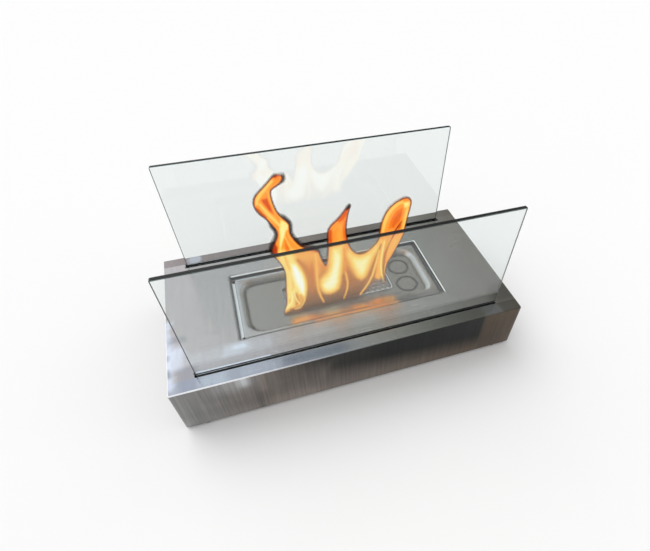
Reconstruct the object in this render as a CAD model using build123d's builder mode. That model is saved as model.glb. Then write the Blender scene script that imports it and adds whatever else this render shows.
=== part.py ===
"""Tabletop bioethanol fireplace: a folded steel base, two loose glass panes and a lift-out burner.

Frame: millimetres, +Z up, origin at the middle of the footprint on the table. +X runs along the
base and -Y is the front. The base, the panes and the burner's opening are all centred on it.
"""

import os

from build123d import *

# ---------------------------------------------------------------- driving sizes

# Base: one sheet of steel folded into a five-sided box that is open below
base_length = 350.0
base_depth = 180.0
base_height = 60.0  # table to the top of the plate
base_sheet = 1.0
fold_inside_radius = 0.5
corner_inside_radius = 1.0  # welded upright corners, ground round
return_width = 16.0  # in-turned flange round the bottom
mitre_gap = 0.8  # open joint where two bottom flanges meet

# Feet: rubber buttons pushed into the bottom flange
foot_height = 2.0  # table to the underside of the flange
foot_diameter = 14.0
foot_edge = 0.6
foot_neck_diameter = 5.0
foot_bulb_diameter = 7.0
foot_bulb_height = 3.0
foot_bore_diameter = 2.4  # blind hole that lets the bulb squeeze through the sheet
foot_hole_gap = 0.2
foot_end_inset = 20.0  # foot centre from the end of the base

# Glass panes, each standing in a slot of the top plate
glass_thickness = 3.0
glass_above_base = 120.0
glass_insert = 20.0  # how deep a pane goes below the top of the plate
glass_end_inset = 25.0  # end of a pane from the end of the base
pane_inset = 15.0  # middle of a pane from the long side of the base
glass_corner_radius = 2.0
glass_arris = 0.4
slot_end_gap = 1.5
slot_side_gap = 0.5
slot_corner_radius = 1.0
slot_edge_radius = 0.3  # rolled-over edge that the punch leaves

# Silicone liner and steel channel under each slot
liner_wall = 1.2
liner_base = 1.5
liner_corner_radius = 0.8
liner_glass_gap = 0.1
liner_top_gap = 0.2  # liner to the underside of the plate
channel_sheet = 1.0
channel_inside_radius = 0.5
channel_overhang = 1.5  # channel beyond each end of its slot
channel_wall_gap = 0.7  # channel's outer flange to the wall of the base

# Weld studs and nuts that hold the channels up
stud_diameter = 3.0
stud_length = 6.0
stud_hole_gap = 0.2
stud_end_inset = 43.0  # stud centre from the end of its channel
nut_across_flats = 5.5
nut_height = 2.4
nut_thread_gap = 0.05

# Burner top: a flange with a turned-down lip, a dished middle and a collared mouth
burner_sheet = 0.8
flange_length = 208.0
flange_width = 84.0
flange_inside_radius = 2.2
flange_edge_radius = 0.7
lip_height = 2.0  # top of the flange above the ledge
border_end = 3.5  # flat border between the flange's edge and the dish
border_side = 4.0
dish_depth = 4.0
dish_top_radius = 18.0
dish_slope_end = 6.0  # how far the dish wall leans in
dish_slope_side = 4.0
dish_floor_radius = 13.0
dish_blend_radius = 1.6
mouth_length = 115.0
mouth_width = 33.0
mouth_radius = 3.0
collar_height = 2.0  # above the dish floor
collar_root_radius = 0.8
collar_edge_radius = 0.3
ring_radius = 11.5  # two plain stamped rings beside the mouth
ring_line = 1.2
ring_depth = 0.25
ring_gap = 5.0  # between the two rings

# How the burner sits in the base
burner_end_gap = 3.0
burner_side_gap = 2.0
rim_drop = 5.5  # top of the plate to the ledge that carries the burner
ledge_support = 2.5  # how far the ledge reaches under the burner's edge
ledge_corner_gap = 1.0  # ledges stop this far short of each other's ends
cutout_corner_radius = 1.0

# Tank, ceramic wick and the perforated cover between wick and mouth
tank_table_gap = 10.0  # table to the underside of the tank
tank_end_inset = 1.5  # tank wall inside the edge of the dish floor
tank_side_inset = 2.0
tank_inside_radius = 9.2
tank_floor_inside_radius = 2.2
wick_gap = 2.2  # wick block to the tank's walls
wick_edge_radius = 2.6
cover_border = 3.0  # cover beyond the mouth, where it is spot-welded
hole_diameter = 3.2
hole_pitch_x = 6.0
hole_pitch_y = 5.2
hole_margin = 1.6  # plain border round the perforated field

# ---------------------------------------------------------------- worked-out sizes

shell_bottom = foot_height
flange_floor = shell_bottom + base_sheet
plate_underside = base_height - base_sheet
fold_radius = fold_inside_radius + base_sheet
corner_radius = corner_inside_radius + base_sheet

ledge_top = base_height - rim_drop
ledge_underside = ledge_top - base_sheet
cutout_length = flange_length + 2 * burner_end_gap
cutout_width = flange_width + 2 * burner_side_gap
ledge_open_length = flange_length - 2 * ledge_support
ledge_open_width = flange_width - 2 * ledge_support

pane_y = base_depth / 2 - pane_inset
glass_length = base_length - 2 * glass_end_inset
glass_bottom = base_height - glass_insert
glass_height = glass_insert + glass_above_base
slot_length = glass_length + 2 * slot_end_gap
slot_width = glass_thickness + 2 * slot_side_gap
liner_inside = glass_thickness + 2 * liner_glass_gap
liner_outside = liner_inside + 2 * liner_wall
liner_bottom = glass_bottom - liner_base
liner_top = plate_underside - liner_top_gap
channel_length = slot_length + 2 * channel_overhang
channel_outside = liner_outside + 2 * channel_sheet
channel_edge = pane_inset - base_sheet - channel_wall_gap  # from the pane's middle
channel_flange = channel_edge - channel_outside / 2
nut_top = plate_underside - channel_sheet
stud_spacing_x = channel_length - 2 * stud_end_inset
stud_spacing_y = channel_outside + channel_flange  # both studs stand mid-flange
foot_spots = GridLocations(
    base_length - 2 * foot_end_inset,
    base_depth - return_width,
    2,
    2,
)

flange_top = ledge_top + lip_height
flange_underside = flange_top - burner_sheet
dish_floor = flange_top - dish_depth
dish_underside = dish_floor - burner_sheet
dish_top_length = flange_length - 2 * border_end
dish_top_width = flange_width - 2 * border_side
dish_floor_length = dish_top_length - 2 * dish_slope_end
dish_floor_width = dish_top_width - 2 * dish_slope_side
ring_x = (mouth_length + dish_floor_length) / 4  # half way from the mouth to the dish's end
ring_y = ring_radius + ring_gap / 2

tank_length = dish_floor_length - 2 * tank_end_inset
tank_width = dish_floor_width - 2 * tank_side_inset
tank_radius = tank_inside_radius + burner_sheet
cover_underside = dish_underside - burner_sheet


def within_cutout(edge):
    """True for an edge that belongs to the burner cut-out or its folded rim."""
    spot = edge.center()
    near_x = abs(spot.X) < cutout_length / 2 + fold_radius
    near_y = abs(spot.Y) < cutout_width / 2 + fold_radius
    return near_x and near_y


# ---------------------------------------------------------------- base shell

# The empty space inside the box, one sheet thickness in from every face
with BuildPart() as shell_hollow:
    with BuildSketch(Plane.XY.offset(flange_floor)):
        RectangleRounded(
            base_length - 2 * base_sheet,
            base_depth - 2 * base_sheet,
            corner_inside_radius,
        )
    extrude(amount=plate_underside - flange_floor)
    fillet(shell_hollow.faces().filter_by(Axis.Z).edges(), fold_inside_radius)
    # the folded rim of the burner cut-out hangs down into this space
    with BuildSketch(Plane.XY.offset(ledge_underside)):
        RectangleRounded(
            cutout_length + 2 * base_sheet,
            cutout_width + 2 * base_sheet,
            cutout_corner_radius + base_sheet,
        )
    extrude(amount=plate_underside - ledge_underside, mode=Mode.SUBTRACT)
    rim_edges = shell_hollow.edges().filter_by(within_cutout)
    fillet(rim_edges.group_by(Axis.Z)[0], fold_radius)
    rim_edges = shell_hollow.edges().filter_by(within_cutout)
    fillet(rim_edges.group_by(Axis.Z)[-1], fold_inside_radius)

with BuildPart() as base_shell:
    with BuildSketch(Plane.XY.offset(shell_bottom)):
        RectangleRounded(base_length, base_depth, corner_radius)
    extrude(amount=base_height - shell_bottom)
    fillet(base_shell.faces().filter_by(Axis.Z).edges(), fold_radius)
    add(shell_hollow.part, mode=Mode.SUBTRACT)

    # open bottom inside the flange, and a mitred joint at each of its corners
    mitre_length = (return_width - 2 * fold_radius) * 2**0.5
    with BuildSketch(Plane.XY.offset(shell_bottom)):
        Rectangle(base_length - 2 * return_width, base_depth - 2 * return_width)
        for side_x in (-1, 1):
            for side_y in (-1, 1):
                middle_x = side_x * (base_length - return_width) / 2
                middle_y = side_y * (base_depth - return_width) / 2
                with Locations(Location((middle_x, middle_y), side_x * side_y * 45)):
                    Rectangle(mitre_length, mitre_gap)
    extrude(amount=base_sheet, mode=Mode.SUBTRACT)

    # pocket for the burner, rounded where the plate folds down into its rim
    with BuildSketch(Plane.XY.offset(ledge_top)):
        RectangleRounded(cutout_length, cutout_width, cutout_corner_radius)
    extrude(amount=rim_drop, mode=Mode.SUBTRACT)
    fillet(base_shell.edges().filter_by(within_cutout).group_by(Axis.Z)[-1], fold_radius)

    # four ledges round the foot of the pocket, with a square notch between their ends
    notch_x = (cutout_length - ledge_open_length) / 2 - base_sheet
    notch_y = (cutout_width - ledge_open_width) / 2 - base_sheet
    notch_spacing_x = ledge_open_length + notch_x - ledge_corner_gap
    notch_spacing_y = ledge_open_width + notch_y - ledge_corner_gap
    with BuildSketch(Plane.XY.offset(ledge_underside)):
        Rectangle(ledge_open_length, ledge_open_width)
        with GridLocations(notch_spacing_x, notch_spacing_y, 2, 2):
            Rectangle(notch_x + ledge_corner_gap, notch_y + ledge_corner_gap)
    extrude(amount=base_sheet, mode=Mode.SUBTRACT)

    # one punched slot for each pane
    with BuildSketch(Plane.XY.offset(plate_underside)):
        with GridLocations(0, 2 * pane_y, 1, 2):
            RectangleRounded(slot_length, slot_width, slot_corner_radius)
    extrude(amount=base_sheet, mode=Mode.SUBTRACT)
    top_face = base_shell.faces().filter_by(Axis.Z).sort_by(Axis.Z)[-1]
    slot_rims = top_face.inner_wires().filter_by(lambda rim: abs(rim.center().Y) > pane_y / 2)
    fillet(slot_rims.edges(), slot_edge_radius)

    # holes for the feet in the bottom flange
    with BuildSketch(Plane.XY.offset(shell_bottom)):
        with foot_spots:
            Circle(foot_neck_diameter / 2 + foot_hole_gap)
    extrude(amount=base_sheet, mode=Mode.SUBTRACT)

    # weld studs under the plate, on both sides of each slot
    with BuildSketch(Plane.XY.offset(plate_underside - stud_length)):
        with GridLocations(0, 2 * pane_y, 1, 2):
            with GridLocations(stud_spacing_x, stud_spacing_y, 2, 2):
                Circle(stud_diameter / 2)
    extrude(amount=stud_length)

base_shell.part.label = "base_shell"

# ---------------------------------------------------------------- foot

with BuildPart() as foot:
    neck_top = flange_floor + foot_hole_gap
    bulb_top = neck_top + foot_bulb_height
    with BuildSketch(Plane.XZ):
        with BuildLine():
            Polyline(
                (0, 0),
                (foot_diameter / 2 - foot_edge, 0),
                (foot_diameter / 2, foot_edge),
                (foot_diameter / 2, shell_bottom),
                (foot_neck_diameter / 2, shell_bottom),
                (foot_neck_diameter / 2, neck_top),
                (foot_bulb_diameter / 2, neck_top),
                (foot_neck_diameter / 2, bulb_top),
                (foot_bore_diameter / 2, bulb_top),
                (foot_bore_diameter / 2, shell_bottom),
                (0, shell_bottom),
                close=True,
            )
        make_face()
    revolve(axis=Axis.Z)

# ---------------------------------------------------------------- pane, liner, channel and nuts

with BuildPart() as pane:
    with BuildSketch(Plane.XZ.offset(-glass_thickness / 2)):
        with Locations((0, glass_bottom + glass_height / 2)):
            RectangleRounded(glass_length, glass_height, glass_corner_radius)
    extrude(amount=glass_thickness)
    chamfer(pane.faces().filter_by(Axis.Y).edges(), glass_arris)

with BuildPart() as liner:
    with BuildSketch(Plane.YZ.offset(-slot_length / 2)) as liner_profile:
        with Locations((0, liner_bottom)):
            Rectangle(liner_outside, liner_top - liner_bottom, align=(Align.CENTER, Align.MIN))
        fillet(liner_profile.vertices().group_by(Axis.Y)[0], liner_corner_radius)
        with Locations((0, glass_bottom)):
            Rectangle(
                liner_inside,
                liner_top - glass_bottom,
                align=(Align.CENTER, Align.MIN),
                mode=Mode.SUBTRACT,
            )
    extrude(amount=slot_length)

with BuildPart() as channel:
    channel_outer_radius = channel_inside_radius + channel_sheet
    with BuildSketch(Plane.YZ.offset(-channel_length / 2)):
        with BuildLine():
            FilletPolyline(
                (-channel_edge, plate_underside),
                (-liner_outside / 2, plate_underside),
                (-liner_outside / 2, liner_bottom),
                (liner_outside / 2, liner_bottom),
                (liner_outside / 2, plate_underside),
                (channel_edge, plate_underside),
                radius=[
                    channel_outer_radius,
                    channel_inside_radius,
                    channel_inside_radius,
                    channel_outer_radius,
                ],
            )
            offset(amount=channel_sheet, side=Side.RIGHT)
        make_face()
    extrude(amount=channel_length)
    with BuildSketch(Plane.XY.offset(nut_top)):
        with GridLocations(stud_spacing_x, stud_spacing_y, 2, 2):
            Circle(stud_diameter / 2 + stud_hole_gap)
    extrude(amount=channel_sheet, mode=Mode.SUBTRACT)

with BuildPart() as channel_nuts:
    with BuildSketch(Plane.XY.offset(nut_top - nut_height)):
        with GridLocations(stud_spacing_x, stud_spacing_y, 2, 2):
            RegularPolygon(nut_across_flats / 2, 6, major_radius=False)
            Circle(stud_diameter / 2 + nut_thread_gap, mode=Mode.SUBTRACT)
    extrude(amount=nut_height)

# ---------------------------------------------------------------- burner top

# Everything above the dish, down to its floor
with BuildPart() as dish_hollow:
    with BuildSketch(Plane.XY.offset(flange_top)):
        RectangleRounded(dish_top_length, dish_top_width, dish_top_radius)
    with BuildSketch(Plane.XY.offset(dish_floor)):
        RectangleRounded(dish_floor_length, dish_floor_width, dish_floor_radius)
    loft(ruled=True)
    fillet(dish_hollow.faces().sort_by(Axis.Z)[0].edges(), dish_blend_radius)

with BuildPart() as burner_top:
    # underside of the dish, one sheet thickness below its floor
    with BuildSketch(Plane.XY.offset(flange_underside)):
        RectangleRounded(dish_top_length, dish_top_width, dish_top_radius)
    with BuildSketch(Plane.XY.offset(dish_underside)):
        RectangleRounded(dish_floor_length, dish_floor_width, dish_floor_radius)
    loft(ruled=True)

    # flange, and the lip turned down along its edge
    with BuildSketch(Plane.XY.offset(flange_underside)):
        RectangleRounded(
            flange_length,
            flange_width,
            flange_inside_radius + burner_sheet,
        )
    extrude(amount=burner_sheet)
    fillet(burner_top.faces().sort_by(Axis.Z)[-1].edges(), flange_edge_radius)
    with BuildSketch(Plane.XY.offset(ledge_top)):
        RectangleRounded(
            flange_length,
            flange_width,
            flange_inside_radius + burner_sheet,
        )
        RectangleRounded(
            flange_length - 2 * burner_sheet,
            flange_width - 2 * burner_sheet,
            flange_inside_radius,
            mode=Mode.SUBTRACT,
        )
    extrude(amount=lip_height - burner_sheet)

    add(dish_hollow.part, mode=Mode.SUBTRACT)
    brim = burner_top.faces().filter_by(Axis.Z).sort_by(Axis.Z)[-1].inner_wires().edges()
    fillet(brim, dish_blend_radius)

    # mouth, drawn up into a collar
    with BuildSketch(Plane.XY.offset(dish_underside)):
        RectangleRounded(
            mouth_length + 2 * burner_sheet,
            mouth_width + 2 * burner_sheet,
            mouth_radius + burner_sheet,
        )
    extrude(amount=burner_sheet + collar_height)
    with BuildSketch(Plane.XY.offset(dish_underside)):
        RectangleRounded(mouth_length, mouth_width, mouth_radius)
    extrude(amount=burner_sheet + collar_height, mode=Mode.SUBTRACT)
    collar_top = dish_floor + collar_height
    collar_edges = burner_top.faces().filter_by_position(Axis.Z, collar_top, collar_top).edges()
    fillet(collar_edges, collar_edge_radius)
    floor_face = burner_top.faces().filter_by_position(Axis.Z, dish_floor, dish_floor).sort_by(
        SortBy.AREA
    )[-1]
    fillet(floor_face.inner_wires().edges(), collar_root_radius)

    # two plain stamped rings
    with BuildSketch(Plane.XY.offset(dish_floor - ring_depth)):
        with Locations((ring_x, ring_y), (ring_x, -ring_y)):
            Circle(ring_radius)
            Circle(ring_radius - ring_line, mode=Mode.SUBTRACT)
    extrude(amount=ring_depth, mode=Mode.SUBTRACT)

burner_top.part.label = "burner_top"

# ---------------------------------------------------------------- tank, wick and cover

with BuildPart() as burner_tank:
    with BuildSketch(Plane.XY.offset(tank_table_gap)):
        RectangleRounded(tank_length, tank_width, tank_radius)
    extrude(amount=dish_underside - tank_table_gap)
    tank_floor = burner_tank.faces().sort_by(Axis.Z)[0]
    fillet(tank_floor.edges(), tank_floor_inside_radius + burner_sheet)
    tank_mouth = burner_tank.faces().sort_by(Axis.Z)[-1]
    offset(amount=-burner_sheet, openings=tank_mouth)

burner_tank.part.label = "burner_tank"

with BuildPart() as wick_block:
    wick_bottom = tank_table_gap + burner_sheet
    with BuildSketch(Plane.XY.offset(wick_bottom)):
        RectangleRounded(
            tank_length - 2 * (burner_sheet + wick_gap),
            tank_width - 2 * (burner_sheet + wick_gap),
            tank_inside_radius - wick_gap,
        )
    extrude(amount=cover_underside - wick_bottom)
    fillet(wick_block.faces().filter_by(Axis.Z).edges(), wick_edge_radius)

wick_block.part.label = "wick_block"

with BuildPart() as wick_cover:
    columns = int((mouth_length - 2 * hole_margin - hole_diameter) / hole_pitch_x) + 1
    rows = int((mouth_width - 2 * hole_margin - hole_diameter) / hole_pitch_y) + 1
    with BuildSketch(Plane.XY.offset(cover_underside)):
        RectangleRounded(
            mouth_length + 2 * cover_border,
            mouth_width + 2 * cover_border,
            mouth_radius + cover_border,
        )
        # staggered round holes, so every second row has one fewer
        for row in range(rows):
            with Locations((0, (row - (rows - 1) / 2) * hole_pitch_y)):
                with GridLocations(hole_pitch_x, 0, columns - row % 2, 1):
                    Circle(hole_diameter / 2, mode=Mode.SUBTRACT)
    extrude(amount=burner_sheet)

wick_cover.part.label = "wick_cover"

# ---------------------------------------------------------------- placing and writing

pieces = [
    base_shell.part,
    burner_top.part,
    burner_tank.part,
    wick_block.part,
    wick_cover.part,
]
for side, y in (("front", -pane_y), ("rear", pane_y)):
    for name, maker in (
        ("glass", pane),
        ("liner", liner),
        ("channel", channel),
        ("channel_nuts", channel_nuts),
    ):
        piece = maker.part.moved(Location((0, y, 0)))
        piece.label = f"{side}_{name}"
        pieces.append(piece)
corner_names = ("front_left", "rear_left", "front_right", "rear_right")
for corner, spot in zip(corner_names, foot_spots):
    piece = foot.part.moved(spot)
    piece.label = f"foot_{corner}"
    pieces.append(piece)

os.makedirs("parts", exist_ok=True)
for piece in pieces:
    export_step(piece, f"parts/{piece.label}.step")
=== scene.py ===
# %% [markdown]
# # A tabletop fireplace, dressed piece by piece
#
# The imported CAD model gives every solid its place: a folded steel base, two loose glass panes
# and a lift-out burner. This lesson lights that model, gives each piece a procedural finish and
# grows the flame that burns in the mouth. Sizes on the object are written in millimetres,
# because it is made that way, and `MM` turns them into Blender's metres.

import math

import bmesh
import bpy
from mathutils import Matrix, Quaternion, Vector


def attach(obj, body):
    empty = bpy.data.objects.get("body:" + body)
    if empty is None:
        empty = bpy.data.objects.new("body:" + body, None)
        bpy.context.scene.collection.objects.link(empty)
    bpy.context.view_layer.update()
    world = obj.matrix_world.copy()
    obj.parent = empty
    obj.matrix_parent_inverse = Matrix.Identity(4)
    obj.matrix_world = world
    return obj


MM = 0.001
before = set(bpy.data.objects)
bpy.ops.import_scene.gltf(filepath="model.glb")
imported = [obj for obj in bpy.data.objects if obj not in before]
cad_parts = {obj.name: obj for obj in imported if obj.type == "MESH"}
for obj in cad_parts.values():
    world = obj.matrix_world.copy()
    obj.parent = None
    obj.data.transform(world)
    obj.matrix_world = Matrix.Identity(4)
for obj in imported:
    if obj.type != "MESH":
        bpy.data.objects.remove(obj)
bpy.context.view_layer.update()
scene = bpy.context.scene
scene.view_settings.view_transform = "Standard"

# %% [markdown]
# ## Camera
#
# The view looks down on the front of the base from a little left of its middle. A camera could
# be aimed with a constraint, but its place, its line of sight and a small roll say the same
# thing in three values. The picture is a crop of a wider one, so the lens is shifted a little.

# %% Camera
PICTURE_WIDTH = 650.0
PICTURE_HEIGHT = 551.0
SENSOR_WIDTH = 36.0
FOCAL_PIXELS = 431.3
LENS_CENTRE = (373.0, 308.5)  # where the lens axis meets the picture, in pixels
CAMERA_PLACE = Vector((-77.95, -320.62, 390.53)) * MM
LINE_OF_SIGHT = Vector((0.23447, 0.62141, -0.74758))
CAMERA_ROLL = math.radians(2.58)

camera_data = bpy.data.cameras.new("camera")
camera_data.sensor_width = SENSOR_WIDTH
camera_data.lens = FOCAL_PIXELS * SENSOR_WIDTH / PICTURE_WIDTH
camera_data.shift_x = (PICTURE_WIDTH / 2 - LENS_CENTRE[0]) / PICTURE_WIDTH
camera_data.shift_y = (LENS_CENTRE[1] - PICTURE_HEIGHT / 2) / PICTURE_WIDTH
camera_data.clip_start = 0.01
camera = bpy.data.objects.new("camera", camera_data)
camera.rotation_mode = "QUATERNION"
camera.location = CAMERA_PLACE
roll = Quaternion((0, 0, 1), CAMERA_ROLL)
camera.rotation_quaternion = LINE_OF_SIGHT.to_track_quat("-Z", "Y") @ roll
scene.collection.objects.link(camera)
scene.camera = camera
print("lens, mm:", round(camera_data.lens, 2))

# %% [markdown]
# ## Small helpers for node trees
#
# Materials here are built in code. They could be wired by hand in the shader editor, but a sum of
# five terms is five nodes there and one line here. So what a node puts out is wrapped in `Value`,
# which can be used in plain sums: `a * b + 1.0` places two Math nodes and links them. The other
# helpers place one node or two each, and are written where they are first needed.

# %% Values that can be used in sums
def sign(operation, swapped=False):
    """A method for a sign such as + between a Value and another value or number."""
    if swapped:
        return lambda value, other: sums(operation, other, value)
    return lambda value, other: sums(operation, value, other)


class Value:
    """What a node puts out. Sums written with it add Math nodes to its tree."""

    def __init__(self, socket):
        self.socket = socket
        self.tree = socket.id_data

    def __abs__(self):
        return sums("ABSOLUTE", self)

    __add__ = __radd__ = sign("ADD")
    __mul__ = __rmul__ = sign("MULTIPLY")
    __sub__, __rsub__ = sign("SUBTRACT"), sign("SUBTRACT", swapped=True)
    __truediv__, __rtruediv__ = sign("DIVIDE"), sign("DIVIDE", swapped=True)


class Placed:
    """A node that has been placed; its outputs are read by name or number, as Values."""

    def __init__(self, node):
        self.node = node

    def __getitem__(self, name):
        return Value(self.node.outputs[name])


def fill(socket, value):
    """Links a socket to a Value, or sets a plain number or colour on it."""
    if isinstance(value, Value):
        value.tree.links.new(value.socket, socket)
    elif socket.type == "RGBA":
        socket.default_value = (*value, 1.0)
    else:
        socket.default_value = value


def place(tree, kind, sockets=None, **settings):
    """Adds a node; sockets are given by name or number, settings are the node's own choices."""
    node = tree.nodes.new(kind)
    for name, value in settings.items():
        setattr(node, name, value)
    for name, value in (sockets or {}).items():
        fill(node.inputs[name], value)
    return Placed(node)


def sums(operation, *values, clamp=False):
    """One Math node, in the tree of the first Value that it is given."""
    tree = next(value.tree for value in values if isinstance(value, Value))
    given = dict(enumerate(values))
    return place(tree, "ShaderNodeMath", given, operation=operation, use_clamp=clamp)[0]


print("helpers: Value, place, sums")

# %% [markdown]
# ## Studio
#
# A product like this is photographed on a white table in soft light. The world is that light:
# bright on the left, dimmer on the right and bright again far to the right, as in a room with
# two windows, because steel only looks like steel when it has something uneven to mirror. One
# soft lamp from behind gives a faint shadow. What the camera sees past the object, directly or
# through the glass, is plain white. The floor is a disc of near-white paint.

# %% Ramps and the parts of a vector
def larger(first, second):
    """The larger of two values."""
    return sums("MAXIMUM", first, second)


def spread(value, low, high, to_low=0.0, to_high=1.0):
    """A smooth ramp: low becomes to_low and high becomes to_high."""
    limits = {0: value, 1: low, 2: high, 3: to_low, 4: to_high}
    return place(value.tree, "ShaderNodeMapRange", limits, interpolation_type="SMOOTHSTEP")[0]


def split(vector):
    """The three parts of a vector."""
    return place(vector.tree, "ShaderNodeSeparateXYZ", {0: vector})


print("helpers: larger, spread, split")

# %% World
SKY_LEFT = 1.06
SKY_RIGHT = 0.46
SKY_FAR_RIGHT = 1.0
SKY_FRONT = 0.8  # of the light behind
# Where the light changes; -1 is the far left or front, and 1 the far right or rear.
DIMMING = (-0.2, 0.5)
SECOND_WINDOW = (0.5, 0.75)
FRONT_TO_REAR = (-0.7, 0.3)
WHITE = (1.0, 1.0, 1.0)

world = bpy.data.worlds.new("studio")
scene.world = world
world.use_nodes = True
sky = world.node_tree
sky.nodes.clear()
direction = split(place(sky, "ShaderNodeTexCoord")["Generated"])
sideways, backward = direction[0], direction[1]
light = spread(sideways, *DIMMING, SKY_LEFT, SKY_RIGHT)
light = light + spread(sideways, *SECOND_WINDOW, 0.0, SKY_FAR_RIGHT - SKY_RIGHT)
light = light * spread(backward, *FRONT_TO_REAR, SKY_FRONT, 1.0)
ray = place(sky, "ShaderNodeLightPath")
not_mirrored = sums("LESS_THAN", ray["Glossy Depth"], 0.5)
seen = larger(ray["Is Camera Ray"], ray["Is Transmission Ray"] * not_mirrored)
light = seen + light * (1.0 - seen)
backdrop = place(sky, "ShaderNodeBackground", {"Color": WHITE, "Strength": light})
place(sky, "ShaderNodeOutputWorld", {"Surface": backdrop[0]})
print("world light, left to right:", SKY_LEFT, SKY_RIGHT, SKY_FAR_RIGHT)

# %% Lamp
LAMP_FROM = Vector((-0.55, 0.75, 1.25))
LAMP_WIDTH = math.radians(50)
LAMP_STRENGTH = 0.95

lamp_data = bpy.data.lights.new("window", "SUN")
lamp_data.angle = LAMP_WIDTH
lamp_data.energy = LAMP_STRENGTH
lamp = bpy.data.objects.new("window", lamp_data)
lamp.location = LAMP_FROM
lamp.rotation_mode = "QUATERNION"
lamp.rotation_quaternion = (-LAMP_FROM).to_track_quat("-Z", "Y")
lamp.visible_glossy = False
lamp.visible_transmission = False
scene.collection.objects.link(lamp)
print("lamp strength:", LAMP_STRENGTH)

# %% New materials
def new_material(name):
    """A material with one Principled shader, already joined to its output."""
    material = bpy.data.materials.new(name)
    material.use_nodes = True
    tree = material.node_tree
    return material, tree, tree.nodes["Principled BSDF"]


def finish(shader, **values):
    """Fills the shader's sockets; a space in a socket's name is written as an underscore."""
    for name, value in values.items():
        fill(shader.inputs[name.replace("_", " ")], value)


print("helpers: new_material, finish")

# %% Floor
FLOOR_RADIUS = 12.0
FLOOR_SIDES = 96
FLOOR_PAINT = (0.93, 0.93, 0.93)

floor_mesh = bpy.data.meshes.new("floor")
disc = bmesh.new()
bmesh.ops.create_circle(disc, cap_ends=True, segments=FLOOR_SIDES, radius=FLOOR_RADIUS)
disc.to_mesh(floor_mesh)
disc.free()
floor = bpy.data.objects.new("floor", floor_mesh)
scene.collection.objects.link(floor)
paint, tree, shader = new_material("floor_paint")
finish(shader, Base_Color=FLOOR_PAINT, Roughness=0.9, Specular_IOR_Level=0.0)
floor_mesh.materials.append(paint)
print("floor radius, m:", FLOOR_RADIUS)

# %% [markdown]
# ## Effects that several finishes share
#
# Each effect is a node group, so that a finish only chooses how much of it it wants. All of
# them read the object's own coordinates, because the CAD meshes have no UV map and every
# node's origin is at the same spot. Sizes that a group is given are in mm.

# %% Places on the object
def scaled(vector, factor):
    """A vector made longer or shorter, or a colour made brighter or darker."""
    sockets = {0: vector, 3: factor}
    return place(vector.tree, "ShaderNodeVectorMath", sockets, operation="SCALE")[0]


def place_on(tree):
    """The place on the object, in metres, for textures."""
    return place(tree, "ShaderNodeTexCoord")["Object"]


def place_in_mm(tree):
    """The place on the object, in mm: to the right, to the rear and up."""
    return split(scaled(place_on(tree), 1 / MM))


def facing(tree):
    """How far a face looks to the right, to the rear and up, each from -1 to 1."""
    return split(place(tree, "ShaderNodeTexCoord")["Normal"])


def noise(where, scale, detail=2.0, roughness=0.5):
    """Blender's noise texture, read at a place."""
    sockets = {"Vector": where, "Scale": scale, "Detail": detail, "Roughness": roughness}
    return place(where.tree, "ShaderNodeTexNoise", sockets)[0]


print("helpers: scaled, place_on, place_in_mm, facing, noise")

# %% New groups
def new_group(name, inputs, outputs):
    """An empty shader node group with named sockets, what it is given and what it gives."""
    group = bpy.data.node_groups.new(name, "ShaderNodeTree")
    for label, value in inputs.items():
        socket = group.interface.new_socket(label, in_out="INPUT", socket_type="NodeSocketFloat")
        socket.default_value = value
    for label in outputs:
        group.interface.new_socket(label, in_out="OUTPUT", socket_type="NodeSocketFloat")
    given = place(group, "NodeGroupInput")
    return group, given, group.nodes.new("NodeGroupOutput").inputs


print("helpers: new_group")

# %% Sheet grain
END_FACE = 0.7  # a face that looks this far sideways is an end


def build_sheet_grain():
    """Brushing along a folded sheet: it runs along X on top, front and rear, and down the ends.

    Grain is the fine brushing. Bands are the soft smears across it, which brushed steel shows
    at right angles to its grain, because it blurs what it mirrors that way.
    """
    inputs = {"Grain Length": 30.0, "Grain Width": 0.5, "Band Length": 40.0, "Band Width": 9.0}
    group, given, result = new_group("sheet grain", inputs, ("Grain", "Bands"))
    x, y, z = place_in_mm(group)
    on_end = sums("GREATER_THAN", abs(facing(group)[0]), END_FACE)
    along = x + z * on_end
    across = y + z * (1.0 - on_end)
    for output, size_along, size_across in (
        ("Grain", "Grain Length", "Grain Width"),
        ("Bands", "Band Width", "Band Length"),
    ):
        shares = {0: along / given[size_along], 1: across / given[size_across]}
        cell = place(group, "ShaderNodeCombineXYZ", shares)[0]
        fill(result[output], noise(cell, scale=1.0, detail=3.0, roughness=0.6))
    return group


sheet_grain = build_sheet_grain()
print("group:", sheet_grain.name)

# %% Painted edge highlights
HIGHLIGHT_PATCHES = 180.0  # per metre
EDGE_SAMPLES = 6


def build_edge_highlights():
    """Where the painted highlight goes: how near the surface is to a sharp edge or a small fold, 0
    to 1.
    """
    inputs = {"Reach": 1.0, "Softness": 0.35, "Unevenness": 0.3}
    group, given, result = new_group("edge highlights", inputs, ("Edge",))
    reach = {"Radius": given["Reach"] * MM}
    rounded = place(group, "ShaderNodeBevel", reach, samples=EDGE_SAMPLES)[0]
    surface = place(group, "ShaderNodeNewGeometry")["Normal"]
    both = {0: rounded, 1: surface}
    agree = place(group, "ShaderNodeVectorMath", both, operation="DOT_PRODUCT")["Value"]
    edge = (1.0 - agree) / (given["Softness"] * 0.5)
    patchy = noise(place_on(group), HIGHLIGHT_PATCHES) * given["Unevenness"]
    fill(result["Edge"], sums("SUBTRACT", edge, patchy, clamp=True))
    return group


edge_highlights = build_edge_highlights()
print("group:", edge_highlights.name)

# %% Handling marks
MARKS_FROM = 0.7  # where marks start in the noise; it is less with more coverage
MARKS_FULL = 0.75


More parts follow.
